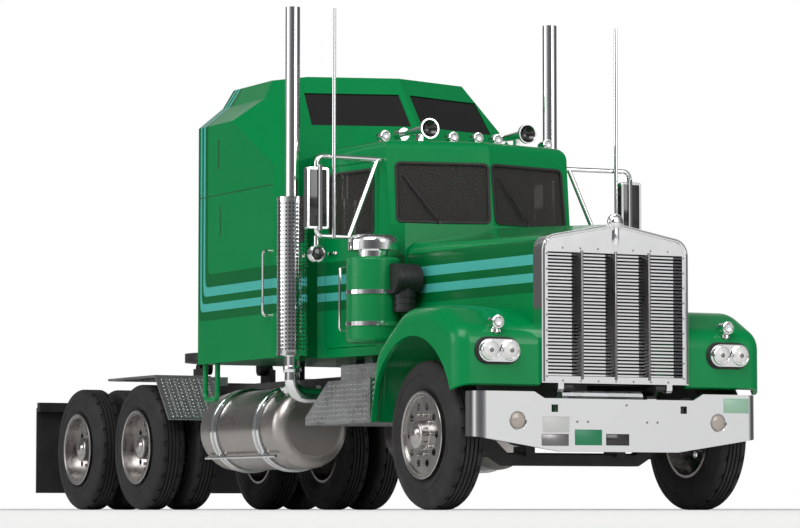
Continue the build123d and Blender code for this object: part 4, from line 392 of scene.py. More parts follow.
def settle(piece, name, body, finish, smooth=35):
    """Put a piece's place in its mesh, name it, finish it, and let it ride on its body."""
    pick(piece)
    bpy.ops.object.transform_apply(location=True, rotation=True, scale=True)
    bpy.ops.object.shade_smooth_by_angle(angle=math.radians(smooth))
    piece.name = name
    piece.data.name = name
    piece.data.materials.clear()
    piece.data.materials.append(finish)
    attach(piece, body)
    return piece


def wire(points):
    """An open wire through points in metres, drawn by extruding one vertex."""
    clear_selection()
    bpy.ops.mesh.primitive_plane_add(size=MM)
    bpy.ops.object.mode_set(mode="EDIT")
    bpy.ops.mesh.select_mode(type="VERT")
    bpy.ops.mesh.select_all(action="SELECT")
    bpy.ops.mesh.merge(type="CENTER")
    bpy.ops.transform.translate(value=points[0])
    for start, end in zip(points, points[1:]):
        bpy.ops.mesh.extrude_region_move(TRANSFORM_OT_translate={"value": Vector(end) - Vector(start)})
    bpy.ops.object.mode_set(mode="OBJECT")
    return bpy.context.object


def turned(profile, steps=40):
    """A form turned about Z from (radius, height) points in millimetres."""
    piece = wire([Vector((radius * MM, 0, height * MM)) for radius, height in profile])
    bpy.ops.object.mode_set(mode="EDIT")
    bpy.ops.mesh.select_all(action="SELECT")
    bpy.ops.mesh.spin(steps=steps, angle=math.tau, center=(0, 0, 0), axis=(0, 0, 1))
    bpy.ops.mesh.select_all(action="SELECT")
    bpy.ops.mesh.remove_doubles(threshold=0.005 * MM)
    bpy.ops.mesh.normals_make_consistent(inside=False)
    bpy.ops.object.mode_set(mode="OBJECT")
    return piece


def edit_faces(piece, wanted):
    """Enter edit mode with the faces selected that a test picks."""
    pick(piece)
    bpy.ops.object.mode_set(mode="EDIT")
    bpy.ops.mesh.select_mode(type="FACE")
    bpy.ops.mesh.select_all(action="DESELECT")
    bpy.ops.object.mode_set(mode="OBJECT")
    for polygon in piece.data.polygons:
        polygon.select = wanted(polygon)
    bpy.ops.object.mode_set(mode="EDIT")


def stand(piece, place, direction, roll=0.0):
    """Turn a piece's Z to a direction and move it to a place."""
    turn = Vector(direction).to_track_quat("Z", "Y").to_matrix().to_4x4()
    piece.matrix_world = Matrix.Translation(place) @ turn @ Matrix.Rotation(roll, 4, "Z")
    bpy.context.view_layer.update()
    return piece


def copy_of(piece):
    """A copy with its own mesh."""
    pick(piece)
    bpy.ops.object.duplicate(linked=False)
    return bpy.context.object


def joined(pieces):
    """Join pieces into the first one."""
    clear_selection()
    for piece in pieces:
        piece.select_set(True)
    bpy.context.view_layer.objects.active = pieces[0]
    if len(pieces) > 1:
        bpy.ops.object.join()
    return bpy.context.object


def mirrored(piece):
    """Add a piece's mirror image across the middle of the truck."""
    pick(piece)
    bpy.ops.object.transform_apply(location=True, rotation=True, scale=True)
    twin = copy_of(piece)
    twin.matrix_world = Matrix.Scale(-1, 4, (0, 1, 0))
    bpy.ops.object.transform_apply(location=True, rotation=True, scale=True)
    bpy.ops.object.mode_set(mode="EDIT")
    bpy.ops.mesh.select_all(action="SELECT")
    bpy.ops.mesh.flip_normals()
    bpy.ops.object.mode_set(mode="OBJECT")
    return joined([piece, twin])


def left_or_right(piece, side):
    """Keep a piece drawn on the left, or turn it into its mirror image for the right."""
    pick(piece)
    bpy.ops.object.transform_apply(location=True, rotation=True, scale=True)
    if side < 0:
        piece.matrix_world = Matrix.Scale(-1, 4, (0, 1, 0))
        bpy.ops.object.transform_apply(location=True, rotation=True, scale=True)
    bpy.ops.object.mode_set(mode="EDIT")
    bpy.ops.mesh.select_all(action="SELECT")
    bpy.ops.mesh.normals_make_consistent(inside=False)
    bpy.ops.object.mode_set(mode="OBJECT")
    return piece


def use_modifier(piece, kind, **settings):
    """Add a modifier and apply it."""
    pick(piece)
    modifier = piece.modifiers.new(kind.lower(), kind)
    for label, value in settings.items():
        setattr(modifier, label, value)
    bpy.ops.object.modifier_apply(modifier=modifier.name)
    return piece


def repeated(piece, count, step):
    """Repeat a piece in a row by a step in metres."""
    return use_modifier(piece, "ARRAY", count=count, use_relative_offset=False, use_constant_offset=True,
                        constant_offset_displace=step)


def slab(low, high, bevel, segments=2):
    """A bevelled block between two corners in metres."""
    clear_selection()
    bpy.ops.mesh.primitive_cube_add(size=1, location=(Vector(low) + Vector(high)) / 2)
    piece = bpy.context.object
    piece.scale = [abs(a - b) for a, b in zip(low, high)]
    bpy.ops.object.transform_apply(location=False, rotation=False, scale=True)
    return use_modifier(piece, "BEVEL", width=bevel * MM, segments=segments, limit_method="NONE")


def bent_bar(points, radius, bend, resolution=3):
    """A round bar through points in metres, with its corners bent to a radius in millimetres."""
    piece = wire(points)
    bpy.ops.object.mode_set(mode="EDIT")
    bpy.ops.mesh.select_all(action="DESELECT")
    bpy.ops.object.mode_set(mode="OBJECT")
    for vertex in piece.data.vertices:
        near_end = min((vertex.co - Vector(points[0])).length, (vertex.co - Vector(points[-1])).length)
        vertex.select = near_end > 0.01 * MM
    if bend and len(points) > 2:
        bpy.ops.object.mode_set(mode="EDIT")
        bpy.ops.mesh.bevel(offset=bend * MM, segments=4, affect="VERTICES")
        bpy.ops.object.mode_set(mode="OBJECT")
    pick(piece)
    bpy.ops.object.convert(target="CURVE")
    line = bpy.context.object
    line.data.bevel_depth = radius * MM
    line.data.bevel_resolution = resolution
    line.data.use_fill_caps = True
    bpy.ops.object.convert(target="MESH")
    return bpy.context.object


def framed(width, height, corner, rim, thick):
    """A flat frame in XY, centred, with rounded corners; sizes in millimetres."""
    clear_selection()
    bpy.ops.mesh.primitive_plane_add(size=1)
    piece = bpy.context.object
    piece.scale = (width * MM, height * MM, 1)
    bpy.ops.object.transform_apply(location=False, rotation=False, scale=True)
    bpy.ops.object.mode_set(mode="EDIT")
    bpy.ops.mesh.select_all(action="SELECT")
    bpy.ops.mesh.bevel(offset=corner * MM, segments=4, affect="VERTICES")
    bpy.ops.mesh.select_all(action="SELECT")
    bpy.ops.mesh.inset(thickness=rim * MM)
    bpy.ops.mesh.delete(type="FACE")
    bpy.ops.object.mode_set(mode="OBJECT")
    use_modifier(piece, "SOLIDIFY", thickness=thick * MM, offset=0)
    return use_modifier(piece, "BEVEL", width=0.12 * MM, segments=1, limit_method="ANGLE")


# Tyres: grooved tread, notched shoulders and ringed sidewalls

def tyre_profile():
    """Closed (radius, height) outline of a tyre, with a groove between ribs."""
    side = [(BEAD_RADIUS, 3.8), (12.9, 4.1), (14.2, 4.65), (15.7, TYRE_HALF), (16.3, TYRE_HALF), (16.5, 5.12),
            (17.7, 5.12), (17.9, TYRE_HALF), (18.7, 5.12), (20.2, 4.74), (20.9, 4.55), (21.5, 4.15),
            (21.9, 3.6)]
    rib = (2 * TREAD_HALF - (TREAD_RIBS - 1) * GROOVE_WIDTH) / TREAD_RIBS
    tread = []
    for index in range(TREAD_RIBS):
        top = TREAD_HALF - index * (rib + GROOVE_WIDTH)
        tread += [(TYRE_RADIUS, top), (TYRE_RADIUS, top - rib)]
        if index < TREAD_RIBS - 1:
            tread += [(TYRE_RADIUS - GROOVE_DEPTH, top - rib - 0.05),
                      (TYRE_RADIUS - GROOVE_DEPTH, top - rib - GROOVE_WIDTH + 0.05)]
    other = [(radius, -height) for radius, height in reversed(side)]
    return side + tread + other + [side[0]]


def make_tyre():
    """One tyre about Z."""
    def on_notch(polygon):
        centre = polygon.center / MM
        sector = int((math.atan2(centre.y, centre.x) % math.tau) / math.tau * TYRE_STEPS)
        on_shoulder = abs(centre.z) > TREAD_HALF - 1.3 and math.hypot(centre.x, centre.y) > TYRE_RADIUS - 0.35
        return on_shoulder and sector % 3 == 0

    piece = turned(tyre_profile(), TYRE_STEPS)
    edit_faces(piece, on_notch)
    bpy.ops.mesh.inset(thickness=0.1 * MM, depth=-0.45 * MM)
    bpy.ops.object.mode_set(mode="OBJECT")
    return piece


pattern_tyre = make_tyre()
for name, side in SIDES:
    tyre = stand(copy_of(pattern_tyre), at(0, side * FRONT_TRACK, TYRE_RADIUS), (0, side, 0))
    settle(tyre, f"ribbed_front_tyre_{name}", f"{name}_front_wheel", TYRE_BLACK)
    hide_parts(f"front_tyre_{name}")
    for axle, axle_x in DRIVE_AXLES:
        places = [at(axle_x, side * (REAR_TRACK + shift), TYRE_RADIUS)
                  for shift in (-TWIN_SPACING / 2, TWIN_SPACING / 2)]
        twins = joined([stand(copy_of(pattern_tyre), place, (0, side, 0)) for place in places])
        settle(twins, f"ribbed_twin_tyres_{axle}_{name}", f"{axle}_{name}_twins", TYRE_BLACK)
        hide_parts(f"twin_tyres_{axle}_{name}")
bpy.data.objects.remove(pattern_tyre)


# Wheel trim: rim lips, nuts and hub caps

def nut_ring(count, circle, height, radius, length):
    """Hexagon nuts in a circle about Z."""
    nuts = []
    for index in range(count):
        turn = math.tau * index / count
        place = Vector((circle * math.cos(turn), circle * math.sin(turn), height + length / 2)) * MM
        clear_selection()
        bpy.ops.mesh.primitive_cylinder_add(vertices=6, radius=radius * MM, depth=length * MM, location=place,
                                            rotation=(0, 0, turn))
        bpy.ops.object.mode_set(mode="EDIT")
        bpy.ops.mesh.select_all(action="SELECT")
        bpy.ops.mesh.bevel(offset=0.12 * MM, segments=1)
        bpy.ops.object.mode_set(mode="OBJECT")
        nuts.append(bpy.context.object)
    return joined(nuts)


def rim_lip(height):
    """The rolled edge of a rim, whose outer face is at a height above the wheel's middle."""
    return turned([(11.4, height - 1.2), (12.3, height - 1.2), (12.9, height - 0.7), (13.1, height - 0.2),
                   (12.9, height), (12.5, height), (12.1, height - 0.35), (11.8, height - 0.5),
                   (11.4, height - 0.6), (11.4, height - 1.2)], 56)


def wheel_trim(name, body, place, direction, lip, disc, hub):
    """Lip, nuts and a stepped cap over the hub."""
    cap = turned([(0.0, hub + 1.1), (1.9, hub + 1.0), (2.3, hub + 0.75), (2.5, hub + 0.3), (3.6, hub + 0.2),
                  (4.0, hub), (4.25, hub - 0.3), (4.25, disc + 0.2), (4.6, disc)], 32)
    trim = joined([rim_lip(lip), nut_ring(10, 6.1, disc, 0.62, 1.0), cap])
    return settle(stand(trim, place, direction), name, body, WHEEL_ALLOY)


# Outer faces of the lip, disc and hub, out from the wheel's middle
FRONT_TRIM = (5.6, 4.9, 7.2)
TWIN_TRIM = (12.2, 7.2, 10.4)

for name, side in SIDES:
    wheel_trim(f"front_wheel_trim_{name}", f"{name}_front_wheel", at(0, side * FRONT_TRACK, TYRE_RADIUS),
               (0, side, 0), *FRONT_TRIM)
    for axle, axle_x in DRIVE_AXLES:
        wheel_trim(f"twin_wheel_trim_{axle}_{name}", f"{axle}_{name}_twins",
                   at(axle_x, side * REAR_TRACK, TYRE_RADIUS), (0, side, 0), *TWIN_TRIM)


# Muffler guards: perforated sleeves with end rings, over the plain guards

STACK_X, STACK_Y = -95.6, 47.6
GUARD_RADIUS = 5.0
GUARD_BOTTOM, GUARD_TOP = 49.5, 100.0
GUARD_ROWS = 40
GUARD_COLUMNS = 26


def make_guard():
    """A sleeve about Z with a round hole in each cell of its grid, between two plain end bands."""
    pitch = (GUARD_TOP - GUARD_BOTTOM) / GUARD_ROWS
    heights = [GUARD_BOTTOM + row * pitch for row in range(GUARD_ROWS + 1)]
    sleeve = turned([(GUARD_RADIUS, height) for height in heights], GUARD_COLUMNS)
    edit_faces(sleeve, lambda face: GUARD_BOTTOM + pitch < face.center.z / MM < GUARD_TOP - pitch)
    bpy.ops.mesh.inset(thickness=0.24 * MM, use_individual=True)
    bpy.ops.mesh.delete(type="FACE")
    bpy.ops.object.mode_set(mode="OBJECT")
    use_modifier(sleeve, "SUBSURF", levels=1, render_levels=1)
    use_modifier(sleeve, "SOLIDIFY", thickness=0.22 * MM, offset=-1)
    wide = GUARD_RADIUS + 0.12
    rings = [turned([(2.5, low), (wide, low), (wide, low + 0.9), (2.5, low + 0.9), (2.5, low)], 32)
             for low in (GUARD_BOTTOM - 0.3, GUARD_TOP - 0.6)]
    clamp = turned([(2.4, 44.0), (2.85, 44.0), (2.95, 44.3), (2.95, 45.7), (2.85, 46.0), (2.4, 46.0),
                    (2.4, 44.0)], 28)
    return joined([sleeve, *rings, clamp])


guards = mirrored(stand(make_guard(), at(STACK_X, STACK_Y, 0), (0, 0, 1)))
settle(guards, "perforated_guards", "chassis", CHROME)


# Tread plate: raised lozenges on the step boxes and the quarter fenders, in a brighter, smoother metal than their
# plate as a painted highlight

LOZENGE = (1.35, 0.5, 0.2)
LOZENGE_PITCH = 1.55


def make_lozenges(width, height):
    """Raised lozenges in alternate directions over a panel in XY, from its lower left corner."""
    cells = []
    for index, turn in enumerate((45, -45)):
        clear_selection()
        place = Vector((0.5 + index, 0.5, 0)) * LOZENGE_PITCH * MM
        bpy.ops.mesh.primitive_cube_add(size=1, location=place)
        lozenge = bpy.context.object
        lozenge.scale = [value * MM for value in LOZENGE]
        lozenge.rotation_euler.z = math.radians(turn)
        bpy.ops.object.transform_apply(location=False, rotation=False, scale=True)
        edit_faces(lozenge, lambda face: face.normal.z > 0.5)
        bpy.ops.transform.resize(value=(0.72, 0.5, 1.0), center_override=lozenge.location)
        bpy.ops.object.mode_set(mode="OBJECT")
        cells.append(lozenge)
    row = joined(cells)
    bpy.ops.object.transform_apply(location=True, rotation=True, scale=True)
    columns = max(1, int(width / (2 * LOZENGE_PITCH)))
    lines = max(1, int(height / LOZENGE_PITCH))
    repeated(row, columns, (2 * LOZENGE_PITCH * MM, 0, 0))
    repeated(row, lines, (0, LOZENGE_PITCH * MM, 0))
    spare = ((width - columns * 2 * LOZENGE_PITCH) / 2, (height - lines * LOZENGE_PITCH) / 2)
    row.location = (spare[0] * MM, spare[1] * MM, 0)
    bpy.ops.object.transform_apply(location=True, rotation=True, scale=True)
    return row


def lay_on(piece, corner, along, up):
    """Put a piece drawn in XY on a panel, with its X and Y along two directions from a corner."""
    x_axis = Vector(along).normalized()
    y_axis = Vector(up).normalized()
    turn = Matrix((x_axis, y_axis, x_axis.cross(y_axis))).transposed().to_4x4()
    piece.matrix_world = Matrix.Translation(corner) @ turn
    bpy.context.view_layer.update()
    return piece


# Panels: size, corner, and directions along and up the panel, on the left side
STEP_PANELS = (
    ((46.4, 13.6), at(-42.6, 46.0, 26.8), (-1, 0, 0), (0, 0, 1)),
    ((29.8, 5.0), at(-42.6, 41.5, 40.4), (-1, 0, 0), (0, 0, 1)),
    ((29.8, 4.5), at(-42.6, 46.0, 40.4), (-1, 0, 0), (0, -1, 0)),
    ((28.7, 13.6), at(-42.6, 17.3, 26.8), (0, 1, 0), (0, 0, 1)),
)
QUARTER_PANELS = (
    ((42.0, 21.0), at(-212.6, 45.8, 47.25), (-1, 0, 0), (0, -1, 0)),
    ((21.0, 19.0), at(-199.2, 24.8, 32.0), (0, 1, 0), (-12.4, 0, 15.2)),
)
STEP_HEEL = (-89.0, 29.4)
STEP_TREAD_REAR = (-72.4, 40.4)


def above_heel(face):
    """Whether a face lies above the slanted rear edge of a step box."""
    ahead = face.center.x / MM - AXLE_X
    share = (ahead - STEP_HEEL[0]) / (STEP_TREAD_REAR[0] - STEP_HEEL[0])
    edge = STEP_HEEL[1] + share * (STEP_TREAD_REAR[1] - STEP_HEEL[1])
    return share < 1 and face.center.z / MM > edge - LOZENGE_PITCH / 2


for name, panels in (("step_tread", STEP_PANELS), ("quarter_tread", QUARTER_PANELS)):
    patches = [lay_on(make_lozenges(*size), corner, along, up) for size, corner, along, up in panels]
    plate = joined(patches)
    bpy.ops.object.transform_apply(location=True, rotation=True, scale=True)
    if name == "step_tread":
        edit_faces(plate, above_heel)
        bpy.ops.mesh.select_linked()
        bpy.ops.mesh.delete(type="FACE")
        bpy.ops.object.mode_set(mode="OBJECT")
    settle(mirrored(plate), name, "chassis", TREAD_HIGHLIGHT_METAL, smooth=20)


# Window gaskets and wipers

PANE_ALONG = Vector((-7.8, 32.4, 0.0)).normalized()
PANE_OUT = PANE_ALONG.cross(Vector((-0.12, 0.0, 1.0))).normalized()
PANE_UP = PANE_OUT.cross(PANE_ALONG)
PANE_Z = 99.65
PANE_MIDDLE = at(-52.72, 15.44, PANE_Z)
WALL_SPREAD = 0.1538        # how much the cab's side walls widen towards the rear
DOOR_OUT = Vector((WALL_SPREAD, 1.0, 0.0)).normalized()
DOOR_ALONG = Vector((-1.0, WALL_SPREAD, 0.0)).normalized()
DOOR_GLASS_MIDDLE = at(-76.95, 35.57, 97.3)
UP = Vector((0, 0, 1))


def seal(width, height, middle, along, up):
    """A rubber frame on a window, drawn on the left side."""
    return lay_on(framed(width, height, 1.9, 0.85, 0.55), middle, along, up)


seals = seal(30.9, 19.7, PANE_MIDDLE + PANE_OUT * 0.05 * MM, PANE_ALONG, PANE_UP)
settle(mirrored(seals), "windshield_seals", "chassis", RUBBER)
for name, side in SIDES:
    door_seal = seal(25.1, 21.1, DOOR_GLASS_MIDDLE + DOOR_OUT * 0.05 * MM, -DOOR_ALONG, UP)
    settle(left_or_right(door_seal, side), f"door_seal_{name}", f"{name}_door", RUBBER)


def on_pane(along, z, out):
    """A point on the left windshield pane, measured along it from its middle."""
    return PANE_MIDDLE + PANE_ALONG * along * MM + PANE_UP * (z - PANE_Z) * MM + PANE_OUT * out * MM


# Points of an arm: along the pane from its middle, height, and out from it
WIPER_ARM = ((1.6, 90.0, 0.2), (2.4, 91.4, 0.95), (8.5, 99.2, 0.95))
wipers = []
for side, lean in ((-1, 1), (1, -1)):
    blade = bent_bar([on_pane(lean * 12.6, 105.0, 0.7), on_pane(lean * 4.4, 93.6, 0.7)], 0.3, 0)
    arm = bent_bar([on_pane(lean * along, z, out) for along, z, out in WIPER_ARM], 0.22, 0.8)
    pivot = turned([(0, 1.1), (0.5, 1.0), (0.7, 0.6), (0.75, 0), (0, 0)], 16)
    stand(pivot, on_pane(lean * 1.6, 89.9, 0), PANE_OUT)
    wipers.append(left_or_right(joined([blade, arm, pivot]), side))
settle(joined(wipers), "wipers", "chassis", BLACK)


# Handles

CAB_SHOULDER = (-57.0, 32.5)     # where the cab's side wall starts
SLEEPER_HALF = 48.4


def cab_side(ahead, out, z):
    """A point off the cab's left wall, measured out from it."""
    return at(ahead, CAB_SHOULDER[1] + WALL_SPREAD * (CAB_SHOULDER[0] - ahead), z) + DOOR_OUT * out * MM


RAIL_POINTS = ((SLEEPER_HALF - 0.1, 84.0), (51.0, 84.0), (51.0, 63.0), (SLEEPER_HALF - 0.1, 63.0))
PULL_POINTS = ((-0.1, 77.0), (1.9, 77.0), (1.9, 57.0), (-0.1, 57.0))
sleeper_rails = bent_bar([at(-110.6, y, z) for y, z in RAIL_POINTS], 0.55, 1.2)
settle(mirrored(sleeper_rails), "sleeper_grab_rails", "chassis", CHROME)
for name, side in SIDES:
    pull = bent_bar([cab_side(-80.6, out, z) for out, z in PULL_POINTS], 0.5, 1.0)
    latch = slab((-2.6 * MM, -0.55 * MM, 0), (2.6 * MM, 0.55 * MM, 0.9 * MM), 0.25)
    lay_on(latch, cab_side(-87.0, 0.25, 82.0), DOOR_ALONG, UP)
    handles = left_or_right(joined([pull, latch]), side)
    settle(handles, f"door_handles_{name}", f"{name}_door", CHROME)


# Air cleaner bands and intake ribs

CLEANER_X, CLEANER_Y, CLEANER_RADIUS = -48.6, 42.0, 8.4
INTAKE_X, INTAKE_Y, INTAKE_Z = -39.0, 36.0, 71.0
INTAKE_RADIUS, NECK_RADIUS = 4.6, 3.4


def band(radius, low, high, proud):
    """A rolled band about Z."""
    return turned([(radius - 0.1, low), (radius + proud, low + 0.1), (radius + proud, high - 0.1),
                   (radius - 0.1, high), (radius - 0.1, low)], 48)


bands = joined([band(CLEANER_RADIUS, low, low + 1.5, 0.34) for low in (56.5, 66.3)])
settle(mirrored(stand(bands, at(CLEANER_X, CLEANER_Y, 0), UP)), "cleaner_bands", "chassis", CHROME)
drum_ribs = [stand(band(INTAKE_RADIUS, -0.45, 0.45, 0.25), at(INTAKE_X, rib_y, INTAKE_Z), (0, 1, 0))
             for rib_y in (33.2, 35.3, 37.4, 39.5)]
neck_ribs = [stand(band(NECK_RADIUS, rib_z - 0.4, rib_z + 0.4, 0.25), at(INTAKE_X, INTAKE_Y, 0), UP)
             for rib_z in (61.6, 63.6, 65.6)]
settle(mirrored(joined(drum_ribs + neck_ribs)), "intake_ribs", "chassis", BLACK)


# Lamps

def bullet(length, radius):
    """A lamp shell about Z, blunt end up, with a rolled rim."""
    return turned([(0.0, -length), (radius * 0.45, -length * 0.95), (radius * 0.8, -length * 0.7),
                   (radius, -length * 0.3), (radius, -0.25), (radius * 1.12, -0.2), (radius * 1.12, 0.15),
                   (radius * 0.92, 0.2), (radius * 0.88, 0.0), (0.0, -0.1)], 28)


def lens_dome(radius, rise):
    """A closed domed lens about Z, on a short straight edge."""
    return turned([(0.0, rise), (radius * 0.35, rise * 0.94), (radius * 0.7, rise * 0.66),
                   (radius * 0.92, rise * 0.25), (radius, 0.0), (radius, -0.3), (0.0, -0.3)], 28)


AHEAD = (1, 0, 0)
# Marker lamps: place along and across, on the cab roof
MARKERS = ((-65.0, 29.5), (-59.4, 8.0), (-57.6, 0.0), (-59.4, -8.0), (-65.0, -29.5))
shells, lenses = [], []
for marker_x, marker_y in MARKERS:
    place = at(marker_x, marker_y, 118.3)
    foot = slab(at(marker_x - 4.6, marker_y - 0.7, 116.5), at(marker_x - 1.4, marker_y + 0.7, 117.6), 0.25)
    shells.append(joined([stand(bullet(6.0, 1.5), place, AHEAD), foot]))
    lenses.append(stand(lens_dome(1.32, 0.8), place, AHEAD))
markers = settle(joined(shells), "marker_shells", "chassis", CHROME)
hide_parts("marker_lamps")
settle(joined(lenses), "marker_lenses", "chassis", LENS)

LAMP_Y, LAMP_Z, LAMP_GAP = 39.4, 46.2, 3.35
bezels, lamp_lenses, lamp_dots = [], [], []
for offset in (-LAMP_GAP, LAMP_GAP):
    place = at(28.9, LAMP_Y + offset, LAMP_Z)
    bezel = turned([(2.35, -0.8), (2.95, -0.8), (3.0, -0.1), (2.85, 0.25), (2.6, 0.3), (2.4, 0.05),
                    (2.35, -0.8)], 36)
    bezels.append(stand(bezel, place, AHEAD))
    lamp_lenses.append(stand(lens_dome(2.4, 0.75), place, AHEAD))
    lamp_dots.append(stand(lens_dome(0.75, 0.2), place + Vector((0.66 * MM, 0, 0)), AHEAD))
settle(mirrored(joined(bezels)), "headlamp_bezels", "hood", CHROME)
settle(mirrored(joined(lamp_lenses)), "headlamp_lenses", "hood", LAMP_WHITE)
settle(mirrored(joined(lamp_dots)), "headlamp_bulbs", "hood", DARK_STEEL)
# A dark frame round each pair of headlamps: painted shadow round the lamp pods
lamp_shadow_frame = lay_on(framed(15.0, 8.0, 3.9, 0.75, 0.5), at(26.75, LAMP_Y, LAMP_Z), (0, 1, 0), UP)
settle(mirrored(lamp_shadow_frame), "headlamp_painted_shadow", "hood", RUBBER)

signal_place = at(27.25, LAMP_Y, 54.6)
signal_shell = stand(bullet(4.0, 1.7), signal_place, AHEAD)
signal_foot = turned([(0, 1.4), (0.9, 1.3), (1.0, 0.6), (1.5, 0.3), (1.7, -0.6), (0, -0.6)], 20)
stand(signal_foot, at(25.4, LAMP_Y, 52.2), UP)
settle(mirrored(joined([signal_shell, signal_foot])), "signal_shells", "hood", CHROME)
settle(mirrored(stand(lens_dome(1.5, 0.8), signal_place, AHEAD)), "signal_lenses", "hood", LENS)

BUMPER_FACE = 29.8
FOG_Y, FOG_Z = 34.2, 26.0
fog_ring = turned([(2.5, -0.5), (3.2, -0.5), (3.25, 0.1), (3.0, 0.35), (2.6, 0.2), (2.5, -0.5)], 36)
stand(fog_ring, at(BUMPER_FACE - 0.4, FOG_Y, FOG_Z), AHEAD)
settle(mirrored(fog_ring), "fog_lamp_rings", "chassis", CHROME)
fog_lens = stand(lens_dome(2.5, 0.35), at(BUMPER_FACE - 0.45, FOG_Y, FOG_Z), AHEAD)
settle(mirrored(fog_lens), "fog_lamp_lenses", "chassis", FOG_BEIGE)


# Blank plates on the bumper: middle across, middle up, width, height and finish
PLATES = (("bumper_plate_grey", -21.6, 24.9, 9.1, 4.7, PLATE_GREY),
          ("bumper_plate_low", -21.9, 20.4, 9.1, 3.5, DARK_STEEL),
          ("bumper_plate_green", -10.7, 21.2, 9.2, 4.6, PLATE_GREEN),
          ("bumper_plate_dark", -0.8, 20.6, 7.9, 3.4, DARK_GLOSS),
          ("bumper_sign_green", 40.4, 31.1, 9.0, 4.4, PLATE_PALE))
for name, plate_y, plate_z, width, height, finish in PLATES:
    corner = Vector((width / 2, height / 2, 0.0)) * MM
    sheet = slab(Vector((0, 0, -0.3 * MM)) - corner, Vector((0, 0, 0.22 * MM)) + corner, 0.02)
    rim = framed(width, height, 0.5, 0.3, 0.54)
    lay_on(joined([sheet, rim]), at(BUMPER_FACE - 0.24, plate_y, plate_z), (0, 1, 0), UP)
    settle(bpy.context.object, name, "chassis", finish)


# Mirror frames and glasses

MIRROR_X, MIRROR_Y, MIRROR_Z = -59.0, 56.6, 96.8
SPOT_PLACE = at(MIRROR_X + 1.0, MIRROR_Y, 79.4)
frame_ring = lay_on(framed(7.58, 19.4, 1.0, 0.9, 2.6), at(MIRROR_X, MIRROR_Y, MIRROR_Z), (0, 1, 0), UP)
mirror_rod = bent_bar([at(-57.4, 56.0, 86.6), at(-57.4, 56.0, 107.2)], 0.7, 0)
spot_ring = turned([(2.0, -0.2), (2.7, -0.2), (2.75, 0.2), (2.4, 0.4), (2.0, 0.25), (2.0, -0.2)], 32)
stand(spot_ring, SPOT_PLACE, AHEAD)
settle(mirrored(joined([frame_ring, mirror_rod, spot_ring])), "mirror_frames", "chassis", CHROME)
# Dark gloss backs on the mirror heads and the spot mirror: a painted dark reflection in place of chrome
back_plate = slab(at(-58.05, 53.4, 88.0), at(-57.75, 59.9, 105.7), 0.1)
spot_back = stand(lens_dome(2.05, 0.35), SPOT_PLACE, AHEAD)
settle(mirrored(joined([back_plate, spot_back])), "mirror_backs_painted_dark_reflection", "chassis", DARK_GLOSS)
glass = slab((-3.2 * MM, -8.7 * MM, 0), (3.2 * MM, 8.7 * MM, 0.3 * MM), 0.1)
lay_on(glass, at(MIRROR_X - 1.0, MIRROR_Y, MIRROR_Z), (0, -1, 0), UP)
settle(mirrored(glass), "mirror_glasses", "chassis", MIRROR_GLASS)


# Tank rings, caps and rods

TANK_Y, TANK_Z, TANK_RADIUS = 35.0, 26.6, 13.3
ring_in, ring_out = TANK_RADIUS + 0.5, TANK_RADIUS + 0.95
tank_parts = []
for strap in (-121.0, -155.0):
    for shift in (-1.5, 1.5):
        ring = turned([(ring_in, -0.45), (ring_out, -0.3), (ring_out, 0.3), (ring_in, 0.45), (ring_in, -0.45)], 64)
        tank_parts.append(stand(ring, at(strap + shift, TANK_Y, TANK_Z), AHEAD))
filler_out = Vector((0, 0.42, 0.91))
filler = turned([(0, 2.4), (1.9, 2.3), (2.3, 1.9), (2.3, 0.9), (1.7, 0.8), (1.7, -0.6), (0, -0.6)], 24)
tank_parts.append(stand(filler, at(-113.0, TANK_Y, TANK_Z) + filler_out * TANK_RADIUS * MM, filler_out))
rod_out = Vector((0, 0.78, -0.62))
rod_line = at(0, TANK_Y, TANK_Z) + rod_out * (TANK_RADIUS + 1.5) * MM
tank_parts.append(bent_bar([rod_line + Vector((x * MM, 0, 0)) for x in (-166.0, -110.0)], 0.5, 0))
settle(mirrored(joined(tank_parts)), "tank_rings", "chassis", CHROME)


# Grille: rolled edge, post strips, rivets and a plain cap on the gable

GRILLE_X = 27.7
EDGE = [(-24.5, 37.4), (-24.5, 79.4), (0.0, 84.0), (24.5, 79.4), (24.5, 37.4)]
grille_edge = bent_bar([at(GRILLE_X - 0.15, y, z) for y, z in EDGE], 0.55, 3.5)
cap_bar = slab(at(GRILLE_X - 0.3, -0.9, 77.8), at(GRILLE_X + 0.9, 0.9, 84.6), 0.4)
cap = turned([(0.0, 1.3), (1.5, 1.2), (1.9, 0.95), (2.05, 0.6), (2.45, 0.5), (2.6, 0.1), (2.5, -0.6),
              (0.0, -0.7)], 32)
stand(cap, at(GRILLE_X, 0.0, 85.0), AHEAD)
settle(joined([grille_edge, cap_bar, cap]), "grille_edge", "hood", CHROME)
rivet = turned([(0.0, 0.2), (0.18, 0.17), (0.32, 0.0), (0.3, -0.2), (0.0, -0.2)], 8)
RIVET_PLACES = ([(side * 23.4, 39.0 + 4.5 * step) for side in (-1, 1) for step in range(9)]
                + [(6.0 * step, 37.8) for step in range(-3, 4)]
                + [(6.0 * step, 76.8) for step in range(-3, 4) if step])
rivets = [stand(copy_of(rivet), at(GRILLE_X, y, z), AHEAD) for y, z in RIVET_PLACES]
strips = [slab(at(GRILLE_X - 4.4, y - 0.4, 38.2), at(GRILLE_X + 0.3, y + 0.4, 76.2), 0.12)
          for y in (-11.5, 0.0, 11.5)]
settle(joined(strips + rivets), "grille_posts", "hood", DARK_STEEL)

